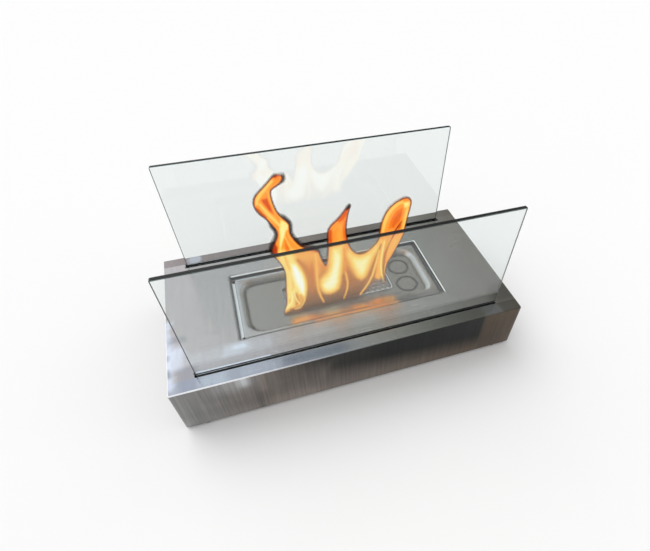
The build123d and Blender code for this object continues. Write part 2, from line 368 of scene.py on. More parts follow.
def build_handling_marks():
    """Soft patches where hands and cloths have been, from 0 to 1."""
    inputs = {"Patch Size": 45.0, "Coverage": 0.5}
    group, given, result = new_group("handling marks", inputs, ("Marks",))
    per_metre = 1.0 / (given["Patch Size"] * MM)
    patches = noise(place_on(group), per_metre, detail=4.0, roughness=0.6)
    fill(result["Marks"], spread(patches, (1.0 - given["Coverage"]) * MARKS_FROM, MARKS_FULL))
    return group


handling_marks = build_handling_marks()
print("group:", handling_marks.name)

# %% [markdown]
# ## Steel
#
# Brushed stainless steel shows its surroundings as soft smears: its top looks pale because it
# mirrors the light above, while its walls mirror the table and look darker and browner. So each
# steel has that reflection painted in, one tone for what faces up and one for its walls, and a
# painted highlight on its edges. One function makes them all: the brushed sheet of the base, the
# smoother pressed burner, its cover, the channels and the nuts.

# %% Groups in use, colours and relief
def use(tree, group, **values):
    """Places a node group in a material, with its own values, and gives its outputs."""
    sockets = {name.replace("_", " "): value for name, value in values.items()}
    return place(tree, "ShaderNodeGroup", sockets, node_tree=group)


def blend(share, first, second, mode="MIX"):
    """A colour between first and second, or, with another mode, what Blender calls so."""
    colours = {0: share, 6: first, 7: second}
    return place(share.tree, "ShaderNodeMix", colours, data_type="RGBA", blend_type=mode)[2]


def relief(height, strength, depth):
    """The normal of a surface with fine relief; depth is in mm."""
    sockets = {"Height": height, "Strength": strength, "Distance": depth * MM}
    return place(height.tree, "ShaderNodeBump", sockets)[0]


print("helpers: use, blend, relief")

# %% Steel finish
FACES_UP = (0.2, 0.9)  # how far up a face looks, from wall to top
MARKED_ROUGHER = 0.03
GRAIN_ROUGHER = 0.08
GRAIN_STRENGTH = 0.05
GRAIN_DEPTH = 0.05  # mm


def two_tones(colour, wall_colour):
    """A painted reflection: one colour for what faces up and another for the walls, with the
    painted edge highlight all over.
    """
    return lambda tree: (blend(spread(facing(tree)[2], *FACES_UP), wall_colour, colour), 1.0)


def steel(name, tones, edge_highlight_colour, roughness, grain_share, band_share, band_width, edge_reach):
    """Brushed or pressed steel: painted reflections in its tones and bands, a painted highlight on
    folds and edges, softer patches where it was handled.
    """
    material, tree, shader = new_material(name)
    grain, bands = use(tree, sheet_grain, Band_Width=band_width)
    edge = use(tree, edge_highlights, Reach=edge_reach)[0]
    marks = use(tree, handling_marks)[0]
    uneven = grain - 0.5
    colour, highlight_share = tones(tree)
    metal = scaled(colour, uneven * grain_share + (bands - 0.5) * band_share + 1.0)
    # The base colour carries the painted reflections and, near edges and folds, the painted
    # highlight.
    finish(
        shader,
        Base_Color=blend(edge * highlight_share, metal, edge_highlight_colour),
        Roughness=marks * MARKED_ROUGHER + uneven * GRAIN_ROUGHER + roughness,
        Metallic=1.0,
        Normal=relief(grain, GRAIN_STRENGTH, GRAIN_DEPTH),
    )
    return material


print("relief of the grain, mm:", GRAIN_DEPTH)

# %% [markdown]
# ## Brushed base
#
# On the real base you can read the room in the steel: a pale band and a streak on the left of
# the top, a wavy gleam along the left end, a grey front wall that turns brown past a soft dark
# edge, and a dark shape under the right of its top fold. A studio built to mirror all this would
# need many cards, so these reflections are painted into the sheet's colour as soft-edged
# patches in its own coordinates.

# %% Patches of tone
def patch(across, up, box, soft):
    """A soft-edged rectangle; box is (left, right, low, high) in mm, and soft is its blur."""
    left, right, low, high = box
    inside = spread(across, left - soft, left + soft) * spread(across, right + soft, right - soft)
    return inside * spread(up, low - soft, low + soft) * spread(up, high + soft, high - soft)


def washed(tone, share, colour):
    """A tone with a share of a colour laid over it."""
    return blend(share, tone, colour)


def lit(tone, share, gain):
    """A tone made brighter by a gain, or darker by a loss, where share is 1."""
    return scaled(tone, share * gain + 1.0)


print("helpers: patch, washed, lit")

# %% Painted reflections on the top
# Painted reflections: gleams of light, shade and dusk of darker things that the top mirrors, and
# the warm glow of the flame before the burner.
GLEAM = (0.78, 0.87, 1.02)
SHADE = (0.16, 0.20, 0.27)
DUSK = (0.085, 0.080, 0.070)
FLAME_GLOW_ON_TOP = (1.0, 0.50, 0.14)
TOP_REFLECTIONS = (
    # ((left, right, front, rear) in mm, blur, strength, colour)
    ((-160, -80, -62, -48), 6.0, 0.20, GLEAM),
    ((-124, -100, -57, -48), 5.0, 0.45, GLEAM),
    ((-115, -104, -54.5, -49.5), 3.0, 0.75, GLEAM),
    ((-128, -108, -61, -57), 2.5, 0.30, GLEAM),
    ((-151, -85, -71.2, -69.8), 0.6, 0.85, GLEAM),
    ((-185, -160, -64, -38), 5.0, 0.62, GLEAM),
    ((-185, -169, -84, -4), 3.5, 0.62, GLEAM),
    ((-178, -170, -71, -62), 3.0, 0.60, SHADE),
    ((-180, -172, -52, -45), 2.5, 0.50, SHADE),
    ((-166, -150, -92, -62), 4.0, 0.36, SHADE),
    ((-148, -122, -90, -77), 5.0, 0.34, GLEAM),
    ((-77, -12, -90, -77), 9.0, 0.66, SHADE),
    ((-150, -138, 77, 90), 3.0, 0.45, GLEAM),
    ((-114, -80, -90, -77), 6.0, 0.16, GLEAM),
    ((134, 152, -95, -77), 3.0, 0.09, GLEAM),
    ((-38, 56, -51, -40), 5.0, 0.22, FLAME_GLOW_ON_TOP),
    ((152, 185, -77, -50), 6.0, 0.60, DUSK),
    ((-173, -157, -33, -24), 4.0, 0.30, SHADE),
)
print("streaks on the top:", len(TOP_REFLECTIONS))

# %% Tones of the top
# Painted reflections: the top is paler on the left, where it mirrors the bright side of the room,
# and darker to the right.
TOP_LEFT = (0.487, 0.472, 0.486)
TOP_MIDDLE = (0.450, 0.450, 0.436)
TOP_RIGHT = (0.242, 0.230, 0.200)
LEFT_TO_MIDDLE = (-80, 10)  # where one tone turns into the next, in mm from the middle
MIDDLE_TO_RIGHT = (60, 200)
# Painted reflections of the strips before and behind the slots: bluer to the left, warmer to the
# right, darker behind.
FRONT_STRIP_LEFT = (0.91, 1.01, 1.15)
FRONT_STRIP_RIGHT = (0.90, 0.91, 0.86)
FRONT_STRIP_TURNS = (-90, 90)
REAR_STRIP = (0.61, 0.56, 0.545)
STRIPS_FROM = (76.5, 77.5)  # the strips lie beyond the slots
REAR_STRIP_ENDS = ((-176, -150, 0.75, 1.0), (120, 60, 0.3, 1.0))
FRONT_DIMMING = ((20, 110, 0.1, 0.4), (-100, -40))  # how much of its light the front strip lacks
# painted reflection: the far right of the top brightens towards the rear
FAR_RIGHT = (60, 120)
FAR_RIGHT_GAIN = (-60, 60, -0.03, 0.14)  # from front to rear
# painted shade on the top beside the opening's left end and front
BESIDE_BURNER = (((-109.5, -100, -46, 46), 1.6), ((-109, 109, -45, -40), 0.8))
BESIDE_BURNER_GAIN = -0.6
SLOT_SHADOWS = ((-152, 152, -74, -71.4), (-152, 152, 70.6, 74), (-152, 152, 76, 77.8))
SLOT_BLUR = 0.25
WAVES = 55.0  # per metre
WAVE = 9.0  # how far the gleams waver from front to rear, in mm
WAVE_SIDEWAYS = 1.5  # how many times further they waver sideways
LEFT_END = (-140, -160)  # only there do they waver from front to rear


def strips(x, y):
    """How much a point is in the strip before the front slot, and in the one behind the rear."""
    front, rear = spread(y, -STRIPS_FROM[0], -STRIPS_FROM[1]), spread(y, *STRIPS_FROM)
    for end in REAR_STRIP_ENDS:
        rear = rear * spread(x, *end)
    return front, rear


def base_top(tree, x, y):
    """The base's top: its painted reflections, and painted shade beside the opening and in the
    slots.
    """
    tone = blend(spread(x, *LEFT_TO_MIDDLE), TOP_LEFT, TOP_MIDDLE)
    tone = washed(tone, spread(x, *MIDDLE_TO_RIGHT), TOP_RIGHT)
    front_strip, rear_strip = strips(x, y)
    dim, dim_from = (spread(x, *limits) for limits in FRONT_DIMMING)
    tone = lit(tone, dim * dim_from * front_strip, -1.0)
    # painted shade beside the opening
    near_left, near_front = (patch(x, y, box, blur) for box, blur in BESIDE_BURNER)
    tone = lit(tone, larger(near_left, near_front), BESIDE_BURNER_GAIN)
    tone = lit(tone, spread(x, *FAR_RIGHT), spread(y, *FAR_RIGHT_GAIN))
    front_tint = blend(spread(x, *FRONT_STRIP_TURNS), FRONT_STRIP_LEFT, FRONT_STRIP_RIGHT)
    tone = blend(front_strip, tone, front_tint, "MULTIPLY")
    tone = blend(rear_strip, tone, REAR_STRIP, "MULTIPLY")
    waver = (noise(place_on(tree), WAVES) - 0.5) * WAVE
    wavy_x = x + waver * WAVE_SIDEWAYS
    wavy_y = y + waver * spread(x, *LEFT_END)
    for box, blur, strength, colour in TOP_REFLECTIONS:
        tone = washed(tone, patch(wavy_x, wavy_y, box, blur) * strength, colour)
    for box in SLOT_SHADOWS:
        tone = lit(tone, patch(x, y, box, SLOT_BLUR), -1.0)
    return tone


print("blur of the shadows in the slots, mm:", SLOT_BLUR)

# %% Painted reflections on the front wall
# Painted reflections of the table: grey on the left, brown past a dark edge, a dark shape under the
# top fold and a browner end; the wall lights and gleams are painted too.
WALL_GREY = (0.235, 0.233, 0.231)
WALL_BROWN = (0.205, 0.180, 0.163)
WALL_DEEP_BROWN = (0.139, 0.108, 0.082)
WALL_SHADOW = (0.022, 0.024, 0.0225)
WALL_END = (0.055, 0.035, 0.014)
WALL_GLEAM = (0.68, 0.70, 0.72)
WALL_LIGHTS = (
    # ((left, right, low, high) in mm, blur, gain)
    ((-104.5, -100, -5, 65), 3.0, -0.24),  # a painted dark edge, where the grey reflection turns brown
    ((-156, -107, -10, 34), 7.0, 0.20),
    ((-128, -107, 34, 70), 6.0, 0.14),
    ((-103, -92, 32, 62), 4.0, 0.24),
    ((-94, -44, -12, 22), 13.0, 0.34),
    ((-44, 80, -12, 20), 13.0, 0.08),
)
WALL_GLEAMS = (((-116, -108, 47, 66), 5.0, 0.9), ((-138, -106, 44, 66), 11.0, 0.30))
GREY_TO_BROWN = (-170, -105, 0.0, 0.75)
PAST_DARK_EDGE = (-100, -94)
BROWN_TO_DEEP = (-60, 150)
NEAR_TABLE = (24, 0, 1.0, 1.45)  # the wall's foot is lit by the table
SHAPE_SLOPE = 0.07  # how far the dark shape's lower edge drops per mm to the right
SHAPE_UP = (14, 42)
SHAPE_FROM = (-43, -26)
SHAPE_TO = (137, 130)
SHAPE_DEEPENS = (-30, 35, 0.86, 1.0)
UNDER_FOLD_UP = (22, 66)
UNDER_FOLD_FROM = (-104, -30)
PAST_SHAPE = (131, 138)
PAST_SHAPE_GAIN = -0.17
END_SHARE = (12, 48, 0.05, 0.40)  # how much of the painted brown past the dark shape it has, further up


def front_wall(x, z):
    """The front wall's painted reflections: grey, a dark edge, brown, and a dark shape under the
    top fold.
    """
    tone = blend(spread(x, *GREY_TO_BROWN), WALL_GREY, WALL_BROWN)
    brown = blend(spread(x, *BROWN_TO_DEEP), WALL_BROWN, WALL_DEEP_BROWN)
    tone = washed(tone, spread(x, *PAST_DARK_EDGE), brown)
    tone = scaled(tone, spread(z, *NEAR_TABLE))
    for box, blur, gain in WALL_LIGHTS:
        tone = lit(tone, patch(x, z, box, blur), gain)
    shape = spread(z + x * SHAPE_SLOPE, *SHAPE_UP) * spread(x, *SHAPE_FROM)
    shape = shape * spread(x, *SHAPE_DEEPENS)
    under_fold = spread(z, *UNDER_FOLD_UP) * spread(x, *UNDER_FOLD_FROM)
    tone = washed(tone, larger(shape, under_fold) * spread(x, *SHAPE_TO), WALL_SHADOW)
    past_shape = spread(x, *PAST_SHAPE)
    tone = lit(tone, past_shape, PAST_SHAPE_GAIN)
    tone = washed(tone, past_shape * spread(z, *END_SHARE), WALL_END)
    for box, blur, strength in WALL_GLEAMS:
        tone = washed(tone, patch(x, z, box, blur) * strength, WALL_GLEAM)
    return tone


print("lights on the front wall:", len(WALL_LIGHTS))

# %% The base put together
# Painted reflection and shade: the walls darker than the top, and the opening's inner walls darker
# still; its ledge is painted lit or shaded.
WALL_PLAIN = (0.19, 0.175, 0.163)
INNER_WALL = (0.10, 0.10, 0.102)
LEDGE_LIT = (0.80, 0.82, 0.86)
LEDGE_SHADED = (0.12, 0.12, 0.122)
FOLD_GLEAM = (0.95, 0.97, 1.0)
FOLD_SHADE = (0.10, 0.10, 0.11)
SMEAR_WIDTH = 2.2  # of the upright smears of painted reflection across the brushing, in mm
SMEAR_LENGTH = 90.0
SMEAR_SHARE = 0.9
FACES_FRONT = (-0.4, -0.8)
INNER_ENDS = (120, 110)  # the opening's walls and ledge lie within these, in mm from the middle
INNER_SIDES = (50, 46)
SUNKEN = (59, 58)
LEDGE_FACES_UP = (0.5, 0.9)
SHADED_RIGHT = (95, 102)
SHADED_FRONT = (-40, -42)
FOLD_FACES_UP = ((0.1, 0.5), (0.99, 0.9))  # it starts to look up, but isn't level yet
FOLD_UP = (58, 58.6)
INNER_FOLD_LIT = (0.05, -0.25)
OUTER_FOLD_LIT = (20, -150)


def base_tones(tree):
    """The base's top and walls together, with painted reflections, painted shade in the opening and
    the gleam along its folds.
    """
    x, y, z = place_in_mm(tree)
    rightward, backward, upward = facing(tree)
    inner = spread(abs(x), *INNER_ENDS) * spread(abs(y), *INNER_SIDES)
    walls = blend(spread(backward, *FACES_FRONT), WALL_PLAIN, front_wall(x, z))
    smears = use(tree, sheet_grain, Band_Width=SMEAR_WIDTH, Band_Length=SMEAR_LENGTH)[1]
    walls = washed(lit(walls, smears - 0.5, SMEAR_SHARE), inner, INNER_WALL)
    tone = blend(spread(upward, *FACES_UP), walls, base_top(tree, x, y))
    shaded = larger(spread(x, *SHADED_RIGHT), spread(y, *SHADED_FRONT))
    ledge = blend(shaded, LEDGE_LIT, LEDGE_SHADED)
    ledge = blend(spread(upward, *LEDGE_FACES_UP), INNER_WALL, ledge)
    tone = washed(tone, inner * spread(z, *SUNKEN), ledge)
    turned, not_level = (spread(upward, *limits) for limits in FOLD_FACES_UP)
    fold = turned * not_level * spread(z, *FOLD_UP)
    inner_fold = blend(spread(rightward + backward, *INNER_FOLD_LIT), FOLD_SHADE, FOLD_GLEAM)
    outer_fold = washed(tone, spread(x, *OUTER_FOLD_LIT), FOLD_GLEAM)
    return washed(tone, fold, blend(inner, outer_fold, inner_fold)), 1.0


def dress(material, *names):
    """Gives a material to CAD nodes, as the one slot that each keeps."""
    for name in names:
        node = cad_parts[name]
        node.data.materials.clear()
        node.data.materials.append(material)
    print("dressed in", material.name + ":", ", ".join(names))


base_steel = steel(
    "brushed_steel",
    base_tones,
    # colour of the painted highlight on edges and folds
    edge_highlight_colour=(0.84, 0.87, 0.92),
    roughness=0.24,
    grain_share=0.16,
    band_share=0.20,
    band_width=4.0,
    edge_reach=1.0,
)
dress(base_steel, "base_shell")

# %% [markdown]
# ## Pressed burner
#
# The burner's top is pressed from thinner sheet: a flat flange, a soft slope down to the dish
# and a collar round the mouth. Rounded steel shows the room as bright and dark lines that run
# round the pressing. Mirroring them would need walls and windows all round it, so these lines
# are painted into its tone, looked up by how far a point is inside the flange's rim, in a list
# of lines for each side.

# %% Lengths and colour ramps
def smaller(first, second):
    """The smaller of two values."""
    return sums("MINIMUM", first, second)


def length(right, up):
    """How long a line is that goes so far to the right and so far up."""
    line = place(right.tree, "ShaderNodeCombineXYZ", {0: right, 1: up})[0]
    return place(right.tree, "ShaderNodeVectorMath", {0: line}, operation="LENGTH")["Value"]


def colour_ramp(value, stops):
    """A colour read from a list of stops, each a position from 0 to 1 and a colour."""
    ramp = place(value.tree, "ShaderNodeValToRGB", {0: value})
    steps = ramp.node.color_ramp.elements
    for step, (position, colour) in zip((steps[0], steps[1]), (stops[0], stops[-1])):
        step.position = position
        step.color = (*colour, 1.0)
    for position, colour in stops[1:-1]:
        steps.new(position).color = (*colour, 1.0)
    return ramp["Color"]


print("helpers: smaller, length, colour_ramp")

# %% Lines round the pressing
FLANGE_HALF = (104.0, 42.0)
DISH_HALF = (100.5, 38.0)
DISH_CORNER = 18.0
LINES_REACH = 15.0  # mm from the rim to where the floor's plain tone begins
BRIGHTEST_LINE = 2.5
ENDS_TURN = (50, 85)  # from the left end's lines to the right end's
SIDES_TURN = (-1, 1)  # from the near side's lines to the rear side's
CORNERS_TURN = (-6, 6)  # from an end's lines to a side's
# Each stop is (mm inside the rim, brightness of the painted reflection).
LEFT_LINES = (
    (0.0, 1.9), (0.5, 1.9), (1.5, 1.7), (3.5, 1.5), (5.0, 1.1), (6.2, 0.75), (7.5, 0.36),
    (8.4, 0.25), (9.2, 0.8), (10.6, 1.0),
)
RIGHT_LINES = (
    (0.0, 0.8), (1.5, 0.95), (3.0, 0.95), (4.4, 1.0), (5.3, 1.7), (6.6, 1.75), (7.8, 1.5),
    (8.8, 1.0), (10.4, 0.65), (11.6, 0.75), (13.0, 0.95), (14.5, 1.0),
)
REAR_LINES = (
    (0.0, 2.4), (1.0, 2.3), (2.0, 1.6), (3.0, 1.2), (4.5, 1.0), (6.0, 0.8), (7.0, 0.6), (8.0, 0.46),
    (9.0, 0.36), (10.0, 0.27), (11.0, 0.65), (12.0, 1.0),
)
NEAR_LINES = (
    (0.0, 0.25), (0.7, 0.45), (1.4, 1.1), (2.4, 1.5), (3.2, 1.5), (4.6, 0.95), (7.0, 1.0),
)


def lines(inset, stops):
    """The brightness at a distance inside the rim, as a share of the brightest line."""
    greys = [(gap / LINES_REACH, (bright / BRIGHTEST_LINE,) * 3) for gap, bright in stops]
    return colour_ramp(inset / LINES_REACH, greys)


def inside_rim(across, along):
    """How far inside the rim a point is: straight across the border, then round the dish."""
    past_x = across - (DISH_HALF[0] - DISH_CORNER)
    past_y = along - (DISH_HALF[1] - DISH_CORNER)
    past_corner = length(larger(past_x, 0.0), larger(past_y, 0.0))
    outside = past_corner + smaller(larger(past_x, past_y), 0.0) - DISH_CORNER
    flat = smaller(FLANGE_HALF[0] - across, FLANGE_HALF[1] - along)
    flat = smaller(flat, FLANGE_HALF[0] - DISH_HALF[0])
    return flat - smaller(outside, 0.0)


def pressed_lines(x, y):
    """The lines of all four sides, each where it belongs."""
    across, along = abs(x), abs(y)
    inset = inside_rim(across, along)
    ends = blend(spread(x, *ENDS_TURN), lines(inset, LEFT_LINES), lines(inset, RIGHT_LINES))
    sides = blend(spread(y, *SIDES_TURN), lines(inset, NEAR_LINES), lines(inset, REAR_LINES))
    nearer_side = (FLANGE_HALF[0] - across) - (FLANGE_HALF[1] - along)
    return blend(spread(nearer_side, *CORNERS_TURN), ends, sides) * BRIGHTEST_LINE


print("brightest line, as a share of the floor's tone:", BRIGHTEST_LINE)

# %% Heat tints, a painted flame glow and stamped rings
BLUED = (0.12, 0.14, 0.18)
BLUED_BAND = (6, 66, -26.5, -23.5)
BLUED_BLUR = 1.6
BLUED_SHARE = 0.4
# Straw heat tint and a painted reflection of the flame's glow on the dish, in deep orange.
STRAW_TINT_AND_GLOW = (1.0, 0.43, 0.07)
TINT_AND_GLOW_SPOTS = (
    # ((left, right, front, rear) in mm, blur, strength)
    ((-56, -30, -36, -27), 4.5, 0.74),
    ((-34, 10, -44, -30), 4.5, 0.52),
    ((8, 36, -44, -28), 4.5, 0.70),
    ((34, 56, -42, -26), 4.5, 0.80),
)
RIPPLES = 90.0  # per metre
RIPPLE = 6.0  # how far the tints waver, in mm
RING_PLACES = ((76.0, 14.0), (76.0, -14.0))
RING_RADIUS = 10.9
RING_LINE = (0.7, 1.9)  # from the middle of a ring's line to the plain dish, in mm


def heat_tints_and_glow(tree, tone, x, y):
    """The tone with the dish's heat tints before the mouth: a blued band, and spots of straw tint
    that are also a painted reflection of the flame's glow.
    """
    y = y + (noise(place_on(tree), RIPPLES, detail=3.0) - 0.5) * RIPPLE
    tone = washed(tone, patch(x, y, BLUED_BAND, BLUED_BLUR) * BLUED_SHARE, BLUED)
    bare = 1.0
    for box, blur, strength in TINT_AND_GLOW_SPOTS:
        bare = (1.0 - patch(x, y, box, blur) * strength) * bare
    return washed(tone, 1.0 - bare, STRAW_TINT_AND_GLOW)


def beside_rings(x, y):
    """0 on the lines of the two stamped rings and 1 away from them."""
    plain = 1.0
    for ring_x, ring_y in RING_PLACES:
        gap = length(x - ring_x, y - ring_y) - RING_RADIUS
        plain = spread(abs(gap), *RING_LINE) * plain
    return plain


print("tint and glow spots:", len(TINT_AND_GLOW_SPOTS), "and rings:", len(RING_PLACES))

# %% Tones of the burner
# Painted reflections: the dish darker to the left and brighter where its lines mirror the windows,
# with painted shade before its right side.
DISH_LEFT = (0.345, 0.328, 0.314)
DISH_RIGHT = (0.415, 0.385, 0.350)
DISH_TURNS = (-20, 70)
DISH_BRIGHT = (0.312, 0.318, 0.338)  # on the brightest lines, which mirror the windows
BRIGHT_LINES = (1.1, 1.7)
RING_DARK = 0.3
NEAR_SHADES = (((58, 110, -48, -33), -0.34), ((56, 78, -46, -29), -0.28))
NEAR_BLUR = 4.0
# painted shade: what does not face up, and the tank below, is darker
WALL_TONE = (0.27, 0.27, 0.27)
PRESSING_FACES_UP = (0.2, 0.8)
PRESSING_UP = (51.6, 52.0)  # what lies lower is the tank
# a painted highlight along the collar round the mouth, dimmer to the left
COLLAR_GLEAM = (0.95, 0.97, 1.0)
COLLAR_DIM = (0.42, 0.43, 0.50)
COLLAR_TURNS = (-50, 30)
COLLAR = (-60, 60, -19, 19)
COLLAR_BLUR = 0.5
COLLAR_UP = (53.4, 54.0)


def burner_tones(tree):
    """The burner's flange, slope, dish, collar and stamped rings, with painted reflections, painted
    shade and a painted highlight on the collar.
    """
    x, y, z = place_in_mm(tree)
    plain = beside_rings(x, y)
    bright = pressed_lines(x, y) * (plain * (1.0 - RING_DARK) + RING_DARK)
    tone = blend(spread(x, *DISH_TURNS), DISH_LEFT, DISH_RIGHT)
    tone = washed(tone, spread(bright, *BRIGHT_LINES), DISH_BRIGHT)
    for box, gain in NEAR_SHADES:
        tone = lit(tone, patch(x, y, box, NEAR_BLUR), gain)
    tone = heat_tints_and_glow(tree, scaled(tone, bright), x, y)
    tone = blend(spread(facing(tree)[2], *PRESSING_FACES_UP), WALL_TONE, tone)
    tone = blend(spread(z, *PRESSING_UP), WALL_TONE, tone)
    collar = patch(x, y, COLLAR, COLLAR_BLUR) * spread(z, *COLLAR_UP)
    collar_tone = blend(spread(x, *COLLAR_TURNS), COLLAR_DIM, COLLAR_GLEAM)
    return washed(tone, collar, collar_tone), plain


burner_steel = steel(
    "burner_steel",
    burner_tones,
    # colour of the painted highlight on edges and folds
    edge_highlight_colour=(0.88, 0.90, 0.95),
    roughness=0.2,
    grain_share=0.06,
    band_share=0.05,
    band_width=12.0,
    edge_reach=0.8,
)
dress(burner_steel, "burner_top", "burner_tank")

# %% [markdown]
# ## Plainer steels
#
# The perforated cover is thin sheet, dulled by heat. The channels under the slots are zinc-plated
# and their nuts are plated yellowish. They hardly show, so they need no tones of their own
# making: the same steel, with other numbers, is enough.

# %% Perforated cover, channels and nuts
PLAIN_STEELS = (
    # (name, top and wall colours of the painted reflection, colour of the painted edge highlight,
    #  roughness, grain share, band share, band width, edge reach, the nodes that it dresses)
    ("perforated_steel", (0.36, 0.34, 0.33), (0.22, 0.20, 0.19), (0.74, 0.72, 0.70),
     0.32, 0.10, 0.30, 9.0, 0.4, ("wick_cover",)),
    ("zinc_steel", (0.52, 0.54, 0.57), (0.46, 0.48, 0.51), (0.70, 0.72, 0.74),
     0.36, 0.06, 0.35, 9.0, 0.8, ("front_channel", "rear_channel")),
    ("nut_steel", (0.58, 0.57, 0.52), (0.50, 0.49, 0.44), (0.80, 0.79, 0.74),
     0.30, 0.08, 0.10, 3.0, 0.3, ("front_channel_nuts", "rear_channel_nuts")),
)
for name, top, wall, *numbers, nodes in PLAIN_STEELS:
    dress(steel(name, two_tones(top, wall), *numbers), *nodes)

# %% [markdown]
# ## Glass
#
# Each pane is 3 mm float glass with ground edges. Iron in the glass makes it faintly green, and
# an edge, where you look along the pane, is nearly black. A Principled shader with full
# transmission does the clear faces; its colour is darkened on the narrow faces and on the ground
# strip below the top edge. Lamps would leave a hard shadow behind real refracting glass, so rays
# that look for a lamp pass through.

# %% Glass finish
CLEAR_TINT = (0.865, 0.905, 0.893)
GROUND_TINT = (0.014, 0.026, 0.024)  # of the ground strip below the top edge
EDGE_TINT = (0.001, 0.006, 0.008)
LAMP_TINT = (0.95, 0.97, 0.965)
GROUND_FRONT, GROUND_REAR = 1.3, 0.4  # how far that strip comes down each pane, in mm
BETWEEN_PANES = (-10, 10)
PANE_TOP = 179.75
PANE_END = 149.7
EDGE_BLUR = 0.2
NARROW_FACE = (0.9, 0.95)  # how far a face looks to the front or rear, from narrow to broad
WIPED_ROUGHNESS = 0.003
CUT_ROUGHNESS = 0.12

glass, tree, shader = new_material("clear_glass")
x, y, z = place_in_mm(tree)
narrow = spread(abs(facing(tree)[1]), *NARROW_FACE, 1.0, 0.0)
by_top = spread(z, PANE_TOP - EDGE_BLUR, PANE_TOP)
by_end = spread(abs(x), PANE_END - EDGE_BLUR, PANE_END)
rim = larger(narrow, larger(by_top, by_end))
strip = spread(y, *BETWEEN_PANES, GROUND_FRONT, GROUND_REAR)
ground = spread(z + strip, PANE_TOP, PANE_TOP + EDGE_BLUR)
wiped = use(tree, handling_marks, Patch_Size=60.0, Coverage=0.45)[0]
finish(
    shader,
    Base_Color=blend(rim, blend(ground, CLEAR_TINT, GROUND_TINT), EDGE_TINT),
    Roughness=wiped * WIPED_ROUGHNESS + narrow * CUT_ROUGHNESS,
    IOR=1.5,
    Transmission_Weight=1.0,
)
lamp_ray = place(tree, "ShaderNodeLightPath")["Is Shadow Ray"]
pass_through = place(tree, "ShaderNodeBsdfTransparent", {"Color": LAMP_TINT})
choices = {0: lamp_ray, 1: Value(shader.outputs[0]), 2: pass_through[0]}
mixed = place(tree, "ShaderNodeMixShader", choices)
fill(tree.nodes["Material Output"].inputs["Surface"], mixed[0])
dress(glass, "front_glass", "rear_glass")

# %% [markdown]
# ## Rubber, silicone and ceramic wool
#
# The feet and slot liners are black and matt, with a little dust. The wick is a block of white
# ceramic fibre, soft to look at, browned where the flame reaches it.

# %% Rubber and silicone
PORES = 2600.0  # per metre
RUBBER_ROUGHNESS = 0.6
PORES_ROUGHER = 0.2
DUSTY = (0.0, 1.0, 0.1, 0.5)  # the share of dust, from a face that looks sideways to one on top


def rubber(name, colour, dust_colour):
    """Black elastomer with fine pores and dust on what faces up."""
    material, tree, shader = new_material(name)
    pores = noise(place_on(tree), PORES, detail=3.0)
    dust = use(tree, handling_marks, Patch_Size=12.0, Coverage=0.6)[0]
    dust = dust * spread(facing(tree)[2], *DUSTY)
    finish(
        shader,
        Base_Color=blend(dust, colour, dust_colour),
        Roughness=pores * PORES_ROUGHER + RUBBER_ROUGHNESS,
        Specular_IOR_Level=0.35,
        Normal=relief(pores, strength=0.35, depth=0.05),
    )
    return material


silicone = rubber("silicone", (0.003, 0.003, 0.003), (0.008, 0.008, 0.008))
dress(silicone, "front_liner", "rear_liner")
foot_rubber = rubber("foot_rubber", (0.018, 0.018, 0.018), (0.09, 0.085, 0.08))
dress(foot_rubber, "foot_front_left", "foot_front_right", "foot_rear_left", "foot_rear_right")

# %% Ceramic wool
WOOL_WHITE = (0.80, 0.78, 0.73)
WOOL_BROWNED = (0.42, 0.34, 0.26)
FIBRES = 900.0  # per metre

wool, tree, shader = new_material("ceramic_wool")
fibres = noise(place_on(tree), FIBRES, detail=6.0, roughness=0.75)
burnt = use(tree, handling_marks, Patch_Size=18.0, Coverage=0.55)[0]
finish(
    shader,
    Base_Color=blend(burnt, WOOL_WHITE, WOOL_BROWNED),
    Roughness=0.95,
    Specular_IOR_Level=0.1,
    Normal=relief(fibres, strength=0.8, depth=0.5),
)
dress(wool, "wick_block")

# %% [markdown]
# ## Flame
#
# The flame is a thin curtain of burning vapour that stands on the front edge of the mouth, leans
# back and splits into three tongues. A fluid simulation would give some flame, but not this one,
# and it can't be exported. So the flame is grown: its outline is drawn in its own leaning sheet,
# filled with small triangles and blown up like a pillow, thick in the middle and thin at the rim.
# Its foot rolls over the mouth's collar and thins out on the dish.

# %% How the flame leans
import numpy as np

FLAME_FOOT = 53.0  # height of the mouth's floor
FOOT_FRONT = -13.0  # where the sheet starts, from front to rear
FOOT_FLARE = 5.0  # how far the foot spreads forward
FLARE_HEIGHT = 7.0
ROLL_HEIGHT = 56.0  # below this, the sheet rolls forward over the collar
ROLL_FORWARD = 1.25  # how far forward it goes per mm of sheet
ROLL_DROP = 3.0
RIGHT_LEAN = 0.19  # how far back the right of the sheet goes per mm of height
LEFT_LEAN = 45.0  # how far back the left tip is,
LEFT_RISE = 121.0  # at this height above the foot,
LEFT_CURL = 1.3  # on a curve of this power
LEFT_FROM, LEFT_FULL = 8.0, 30.0  # to the left of the middle


def smooth(value, low, high):
    """The same ramp as spread(), for arrays."""
    share = np.clip((value - low) / (high - low), 0.0, 1.0)
    return share * share * (3.0 - 2.0 * share)


